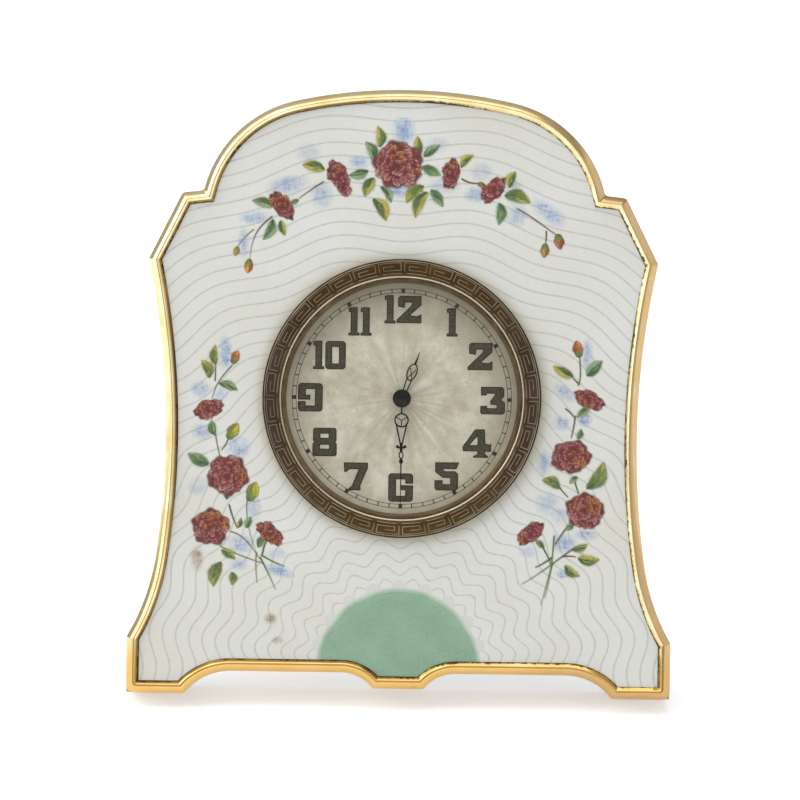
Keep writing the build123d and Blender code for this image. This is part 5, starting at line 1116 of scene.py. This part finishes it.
# Garland over the dial: a full rose in the middle, smaller roses on both sides and trailing buds
GARLAND = (
    (Canvas.haze, (
        ((-0.3, 93.2), 1.3, 1.8, 0.0, 0.75), ((-7.6, 88.0), 1.2, 0.8, 0.0, 0.6), ((-16.0, 89.4), 1.6, 1.2, 0.0, 0.25),
        ((-19.2, 84.0), 2.4, 1.1, 0.2, 0.55), ((-13.6, 82.4), 1.3, 1.6, 0.0, 0.45),
        ((-24.6, 78.6), 1.8, 0.7, 0.1, 0.55), ((-26.4, 74.4), 0.7, 1.8, 0.0, 0.55),
        ((-0.6, 83.4), 2.0, 0.9, 0.0, 0.6), ((6.6, 84.4), 1.8, 1.0, 0.0, 0.35), ((11.6, 82.8), 1.2, 0.9, 0.0, 0.7),
        ((23.8, 80.0), 2.2, 1.0, -0.6, 0.6), ((18.4, 79.6), 1.4, 1.4, 0.0, 0.45), ((12.6, 86.6), 1.4, 1.2, 0.0, 0.3),
        ((5.4, 91.0), 1.4, 1.0, 0.0, 0.3), ((17.8, 84.2), 1.2, 0.9, 0.0, 0.35),
    )),
    (Canvas.stem, (
        ([(-13.4, 84.6), (-15.4, 83.4), (-17.4, 81.8)], 0.1, GREY_TWIG),
        ([(-21.8, 78.8), (-23.6, 77.2), (-25.0, 76.4), (-25.4, 71.6)], 0.12, GREY_TWIG),
        ([(-24.8, 76.6), (-26.4, 75.4), (-27.6, 73.4)], 0.08, ("#7C8A58", "#9A8A50")),
        ([(9.4, 85.4), (10.6, 84.6), (12.4, 84.7)], 0.1, GREY_TWIG),
        ([(18.6, 80.6), (21.4, 79.2), (23.4, 77.4), (25.4, 76.2)], 0.12, GREY_TWIG),
        ([(23.4, 77.0), (23.5, 76.0), (23.3, 74.6)], 0.08, GREY_TWIG),
        ([(-2.0, 85.0), (1.6, 83.4), (4.0, 83.0)], 0.08),
    )),
    (Canvas.leaf, (
        ((-4.3, 90.4), (-4.7, 94.0), 0.9), ((-5.2, 88.2), (-6.6, 91.4), 0.1), ((2.2, 89.0), (2.0, 92.4), 0.9),
        ((3.0, 89.0), (5.8, 91.0), 0.2), ((-6.0, 86.5), (-9.4, 85.7), 0.1), ((-5.0, 85.4), (-6.6, 82.2), 0.4),
        ((-4.0, 84.0), (-2.2, 81.2), 0.3), ((-5.2, 82.0), (-3.0, 78.2), 0.7), ((3.2, 84.2), (0.3, 81.2), 0.7),
        ((3.8, 83.2), (1.8, 78.8), 0.8), ((4.3, 83.6), (6.4, 80.7), 0.1), ((2.8, 87.4), (6.0, 85.9), 0.1),
        ((-13.2, 86.6), (-17.0, 87.4), 0.8), ((-17.4, 81.6), (-19.2, 80.8), 0.1), ((-21.6, 80.4), (-25.2, 81.4), 0.2),
        ((-21.6, 78.4), (-23.3, 74.9), 0.2), ((-20.4, 78.2), (-19.6, 75.6), 0.5), ((9.2, 87.2), (11.4, 89.4), 0.9),
        ((17.2, 84.0), (18.3, 86.8), 0.6), ((16.4, 82.8), (20.8, 81.6), 0.5), ((15.6, 81.6), (15.5, 77.8), 0.2),
    )),
    (Canvas.bud, (
        ((-25.4, 71.8), (-25.7, 69.4)), ((-27.4, 73.8), (-27.8, 72.2), ("#B59A3E", "#D8C060", "#A48A3A")),
        ((25.3, 76.6), (25.8, 74.0), ("#9A5A3C", "#BE8A6A", "#8A4A36")),
        ((23.3, 75.0), (23.1, 72.6), ("#A8864A", "#C9AA72", "#8E6A3A")),
        ((12.0, 84.7), (13.4, 84.2), ("#A5763A", "#C09A52", "#8A5A36")),
    )),
    (Canvas.bloom, (
        ((-11.0, 85.8), 2.6, 1.6, 2.05, 0.2, 0.8), ((-10.0, 83.6), 1.4, 0.9, 2.3, 0.2, 0.7),
        ((-20.2, 80.6), 2.8, 1.4, 2.25, 0.5, 0.8), ((7.6, 86.2), 2.6, 1.4, 1.4, 0.2, 0.8),
        ((14.6, 83.6), 2.6, 1.4, 0.85, 0.2, 0.8), ((-1.1, 87.6), 4.1, 3.9, 0.0, 0.35, 1.15),
    )),
)

# Spray left of the dial: crossed stalks, two full roses up a bending stem, small roses, leaves and buds
LEFT_SPRAY = (
    (Canvas.haze, (
        ((-29.2, 56.2), 0.8, 1.9, 0.0, 0.75), ((-33.2, 50.2), 1.2, 1.0, 0.0, 0.45),
        ((-29.8, 49.4), 0.9, 0.8, 0.0, 0.3), ((-32.8, 43.2), 1.3, 1.0, 0.0, 0.5),
        ((-26.8, 40.6), 1.4, 1.3, 0.0, 0.55), ((-33.4, 34.2), 1.2, 1.2, 0.0, 0.3),
        ((-24.2, 30.8), 1.0, 1.6, 0.0, 0.35), ((-26.2, 24.8), 1.6, 1.1, 0.0, 0.6),
        ((-19.8, 20.4), 1.8, 0.7, -0.3, 0.7), ((-26.4, 21.4), 1.2, 0.8, 0.0, 0.35),
        ((-20.4, 23.2), 1.2, 0.7, 0.0, 0.35),
    )),
    (Canvas.stem, (
        ([(-28.0, 54.2), (-29.6, 52.4), (-30.9, 51.0), (-31.2, 48.6)], 0.1),
        ([(-30.8, 51.6), (-30.7, 53.0), (-30.8, 54.6)], 0.08),
        ([(-30.8, 44.6), (-30.6, 41.6), (-29.8, 39.4), (-29.6, 38.0)], 0.1),
        ([(-28.4, 42.4), (-28.8, 41.0), (-29.6, 40.2)], 0.08), ([(-28.2, 31.2), (-27.6, 29.0), (-26.8, 27.4)], 0.11),
        ([(-25.2, 32.4), (-25.6, 29.4), (-24.8, 26.4), (-23.4, 22.8)], 0.09),
        ([(-28.0, 26.8), (-25.6, 26.4), (-24.4, 24.2), (-23.0, 22.4)], 0.09),
        ([(-29.6, 24.4), (-26.4, 22.8), (-24.2, 22.2), (-22.4, 21.6)], 0.1),
        ([(-23.6, 23.4), (-23.8, 21.0), (-23.4, 18.4)], 0.1, ("#8A7A50", "#A8A878")),
        ([(-23.0, 22.6), (-21.8, 20.6), (-20.4, 17.4)], 0.12, ("#4F6B3C", "#9AA860")),
        ([(-22.8, 23.0), (-20.8, 21.8), (-19.0, 21.2)], 0.12, ("#4F7A4C", "#8AA070")),
        ([(-22.6, 23.2), (-22.4, 24.6), (-21.8, 25.6)], 0.1),
    )),
    (Canvas.haze, (
        ((-21.1, 12.6), 0.8, 0.7, 0.0, 0.7, STAIN), ((-19.9, 9.0), 0.7, 0.5, 0.0, 0.4, STAIN),
        ((-33.4, 22.4), 0.8, 1.6, 0.0, 0.55, STAIN),
    )),
    (Canvas.leaf, (
        ((-30.7, 54.2), (-30.8, 57.6), 0.7), ((-31.7, 52.0), (-33.2, 55.0), 0.7), ((-30.2, 51.2), (-27.0, 50.0), 0.3),
        ((-30.7, 42.6), (-31.3, 45.2), 0.3), ((-31.6, 37.8), (-35.2, 39.6), 0.2), ((-28.6, 32.0), (-28.2, 34.0), 0.1),
        ((-25.4, 27.4), (-24.6, 29.4), 0.1), ((-29.4, 24.6), (-30.2, 26.4), 0.1), ((-29.4, 23.8), (-27.0, 22.2), 0.5),
        ((-29.4, 21.8), (-30.6, 17.6), 0.6), ((-27.6, 20.2), (-27.6, 17.9), 0.6), ((-26.8, 27.4), (-26.2, 29.2), 0.4),
        ((-23.4, 24.2), (-21.6, 26.0), 0.3),
    )),
    (Canvas.bud, (
        ((-28.0, 54.4), (-27.1, 56.6), ("#8E4A4A", "#D8A040", "#A05A4A")),
        ((-28.6, 42.0), (-26.9, 44.6), ("#8E9A3C", "#E0C438", "#6E8A4A")),
        ((-25.0, 31.8), (-23.8, 35.0), ("#8E9A3C", "#D9C840", "#6E8A4A")),
    )),
    (Canvas.bloom, (
        ((-31.8, 46.9), 2.5, 1.5, 0.35, 0.5, 0.75), ((-28.5, 36.1), 3.4, 3.3, 0.0, 0.3, 0.85),
        ((-31.2, 27.5), 3.1, 3.0, 0.0, 0.55, 0.85), ((-21.4, 26.6), 2.6, 1.4, -0.7, 0.5, 0.75),
    )),
)

# Spray right of the dial: the left one's companion, its crossed green stalks and leaves turned about
RIGHT_SPRAY = (
    (Canvas.haze, (
        ((30.4, 57.0), 0.7, 1.7, 0.0, 0.55), ((26.8, 50.4), 1.6, 0.8, -0.6, 0.45),
        ((30.2, 46.2), 0.9, 0.9, 0.0, 0.75), ((26.4, 45.4), 1.1, 0.9, 0.0, 0.5), ((23.6, 38.8), 0.9, 1.5, 0.0, 0.55),
        ((24.2, 32.2), 1.4, 1.4, -0.5, 0.4), ((26.4, 30.2), 1.2, 1.0, 0.0, 0.35), ((27.0, 25.6), 1.4, 1.1, 0.0, 0.65),
        ((30.6, 27.0), 1.5, 0.7, 0.0, 0.5), ((26.8, 20.6), 0.8, 0.6, 0.0, 0.7), ((21.2, 24.2), 1.2, 0.8, 0.0, 0.3),
    )),
    (Canvas.stem, (
        ([(29.2, 56.4), (29.4, 54.0), (29.5, 52.6), (29.0, 51.6)], 0.1),
        ([(29.2, 51.8), (28.6, 52.4), (28.0, 53.0)], 0.08),
        ([(28.6, 46.6), (28.5, 45.0), (28.0, 43.0)], 0.11, ("#7C6A4C", "#6E6A48")),
        ([(27.0, 47.8), (27.8, 47.2), (28.4, 46.4)], 0.08), ([(28.6, 36.4), (28.8, 35.0), (29.4, 33.8)], 0.1),
        ([(26.2, 34.8), (26.8, 34.0), (27.6, 33.2)], 0.08), ([(27.6, 28.4), (26.4, 26.8), (25.6, 25.4)], 0.11),
        ([(23.6, 24.8), (24.4, 23.6), (25.0, 21.8)], 0.1),
        ([(25.4, 26.8), (25.2, 23.4), (25.0, 20.4), (24.0, 16.6)], 0.14, ("#4F6B3C", "#8A9A60")),
        ([(28.4, 24.6), (25.6, 22.6), (23.0, 20.4), (20.2, 18.8)], 0.14, ("#3F6340", "#A0A868")),
        ([(25.2, 22.2), (24.4, 19.4), (23.4, 15.4)], 0.12, ("#5A7444", "#A8B080")),
        ([(25.0, 23.2), (23.8, 22.2), (22.4, 21.6)], 0.12, ("#4A6A44", "#7A9060")),
        ([(26.8, 23.4), (27.8, 23.6), (29.0, 23.4)], 0.09, ("#7C4A3A", "#8E6A4A")),
    )),
    (Canvas.leaf, (
        ((28.2, 53.0), (24.8, 54.8), 0.8), ((30.4, 53.2), (33.0, 55.8), 0.3), ((30.8, 48.2), (28.8, 46.4), 0.1),
        ((29.0, 42.8), (29.6, 44.6), 0.1), ((30.6, 34.6), (33.4, 39.2), 0.4), ((26.3, 34.6), (23.2, 36.0), 0.5),
        ((29.2, 36.6), (27.8, 35.4), 0.1), ((28.6, 28.8), (27.2, 27.8), 0.1), ((28.2, 24.6), (31.0, 25.6), 0.4),
        ((29.3, 23.2), (33.0, 23.0), 0.7), ((27.2, 22.0), (29.8, 20.2), 0.6), ((23.8, 24.8), (22.2, 26.2), 0.1),
    )),
    (Canvas.bud, (
        ((29.2, 56.2), (28.6, 59.0), ("#B0502E", "#C98A58", "#A04A3A")),
    )),
    (Canvas.bloom, (
        ((30.9, 49.3), 2.7, 1.4, -0.42, 0.6, 0.75), ((28.0, 39.9), 3.3, 2.7, 0.15, 0.45, 0.85),
        ((30.4, 31.0), 3.2, 2.9, -0.3, 0.4, 0.85), ((21.5, 27.2), 2.6, 1.4, 0.7, 0.45, 0.75),
    )),
)

painted("garland_paint", (-30, 68), (29.5, 95.5), 11, GARLAND)
painted("left_spray_paint", (-37, 7), (-17, 60), 23, LEFT_SPRAY)
painted("right_spray_paint", (17, 13), (37, 61.5), 37, RIGHT_SPRAY)


# Stage: floor, light, world and camera

# Half side of the floor in metres, and what lifts it to white
FLOOR_HALF = 6.0
FLOOR_LIFT = 0.46


def white_paper():
    """Matt white paper: lit as the object is, lifted to white for the camera and for mirrors, with its shadow."""
    finish, add = new_finish("white_paper")
    place = add("TexCoord").outputs["Object"]
    fibre = add("TexNoise", {"Vector": place, "Scale": 1 / (3 * MM), "Detail": 3.0})
    tone = add("Mix", {0: fibre, 6: "#F4F4F4", 7: "#F0F0F0"}, data_type="RGBA")
    paper = add("BsdfDiffuse", {"Color": tone})
    path = add("LightPath")
    seen = add("Math", path.outputs["Is Camera Ray"], path.outputs["Is Glossy Ray"], operation="ADD")
    seen = add("Math", seen, path.outputs["Is Transmission Ray"], operation="MAXIMUM")
    lift = add("Math", seen, FLOOR_LIFT, operation="MULTIPLY")
    glow = add("Emission", {"Color": "#E4EEFF", "Strength": lift})
    add("OutputMaterial", add("AddShader", paper, glow))
    return finish


edge = np.array([-FLOOR_HALF, FLOOR_HALF])
floor_x, floor_y = np.meshgrid(edge, edge, indexing="ij")
floor_mesh = bpy.data.meshes.new("floor")
floor_points = np.stack([floor_x, floor_y, np.zeros((2, 2))], -1).reshape(-1, 3)
floor_mesh.from_pydata(floor_points, [], grid_quads(2, 2)[:, ::-1])
floor_mesh.materials.append(white_paper())
floor = bpy.data.objects.new("floor", floor_mesh)
bpy.context.scene.collection.objects.link(floor)


def aim(thing, place, target, roll=0.0):
    """Puts a lamp or the camera at a place, looking at a target, rolled about its line of sight."""
    turn = Vector(np.subtract(target, place)).to_track_quat("-Z", "Y")
    thing.location = place
    thing.rotation_euler = (turn @ Quaternion((0, 0, 1), roll)).to_euler()
    bpy.context.scene.collection.objects.link(thing)


def soft_lamp(name, place, width, height, watts):
    """Rectangular studio softbox turned to the dial."""
    data = bpy.data.lights.new(name, "AREA")
    data.shape = "RECTANGLE"
    data.size = width
    data.size_y = height
    data.energy = watts
    aim(bpy.data.objects.new(name, data), place, stand(0.0, DIAL_H, 0.0))


# Softboxes and cards, with width and height in metres
for name, place, width, height, watts in (
    ("left_box", stand(-900.0, 400.0, 330.0), 0.9, 0.9, 3.6),
    ("upper_left_box", stand(-680.0, 780.0, 350.0), 0.9, 0.9, 3.6),
    ("top_box", stand(0.0, 1080.0, 400.0), 1.1, 0.9, 3.9),
    ("right_card", stand(950.0, 300.0, -150.0), 1.0, 0.8, 1.5),
    ("front_card", stand(600.0, 100.0, 800.0), 0.5, 0.9, 0.9),
    ("key_box", (0.1, -0.95, 0.9), 1.0, 0.7, 0.4),
):
    soft_lamp(name, place, width, height, watts)

# Pale studio walls, brighter overhead and darker on the right
OVERHEAD = 0.22
WALL_LEFT = 0.39
WALL_RIGHT = 0.32
world = bpy.data.worlds.new("studio")
bpy.context.scene.world = world
world.use_nodes = True
world.node_tree.nodes.clear()
sky = add_node(world, "SeparateXYZ", add_node(world, "TexCoord").outputs["Generated"])
rise = add_node(world, "MapRange", sky.outputs["Z"], 0.0, 0.9, 0.0, OVERHEAD)
wall = add_node(world, "MapRange", sky.outputs["X"], -0.7, 0.9, WALL_LEFT, WALL_RIGHT)
level = add_node(world, "Math", rise, wall, operation="ADD")
background = add_node(world, "Background", {"Color": "#F7F7F7", "Strength": level})
add_node(world, "OutputWorld", {"Surface": background})

# Camera square to the case front, far off with a long lens, rolled as the photograph is
LENS = 180.0
SENSOR = 36.0
FRAME_MM = 800 / 6.07
AIM_X = -0.3
AIM_H = 48.85
ROLL = math.radians(0.8)
camera_data = bpy.data.cameras.new("camera")
camera_data.lens = LENS
camera_data.sensor_width = SENSOR
camera_data.clip_start = 0.01
camera_data.clip_end = 50.0
camera = bpy.data.objects.new("camera", camera_data)
away = FRAME_MM * LENS / SENSOR
aim(camera, stand(AIM_X, AIM_H, away), stand(AIM_X, AIM_H, 0.0), ROLL)
bpy.context.scene.camera = camera
bpy.context.scene.view_settings.view_transform = "Standard"
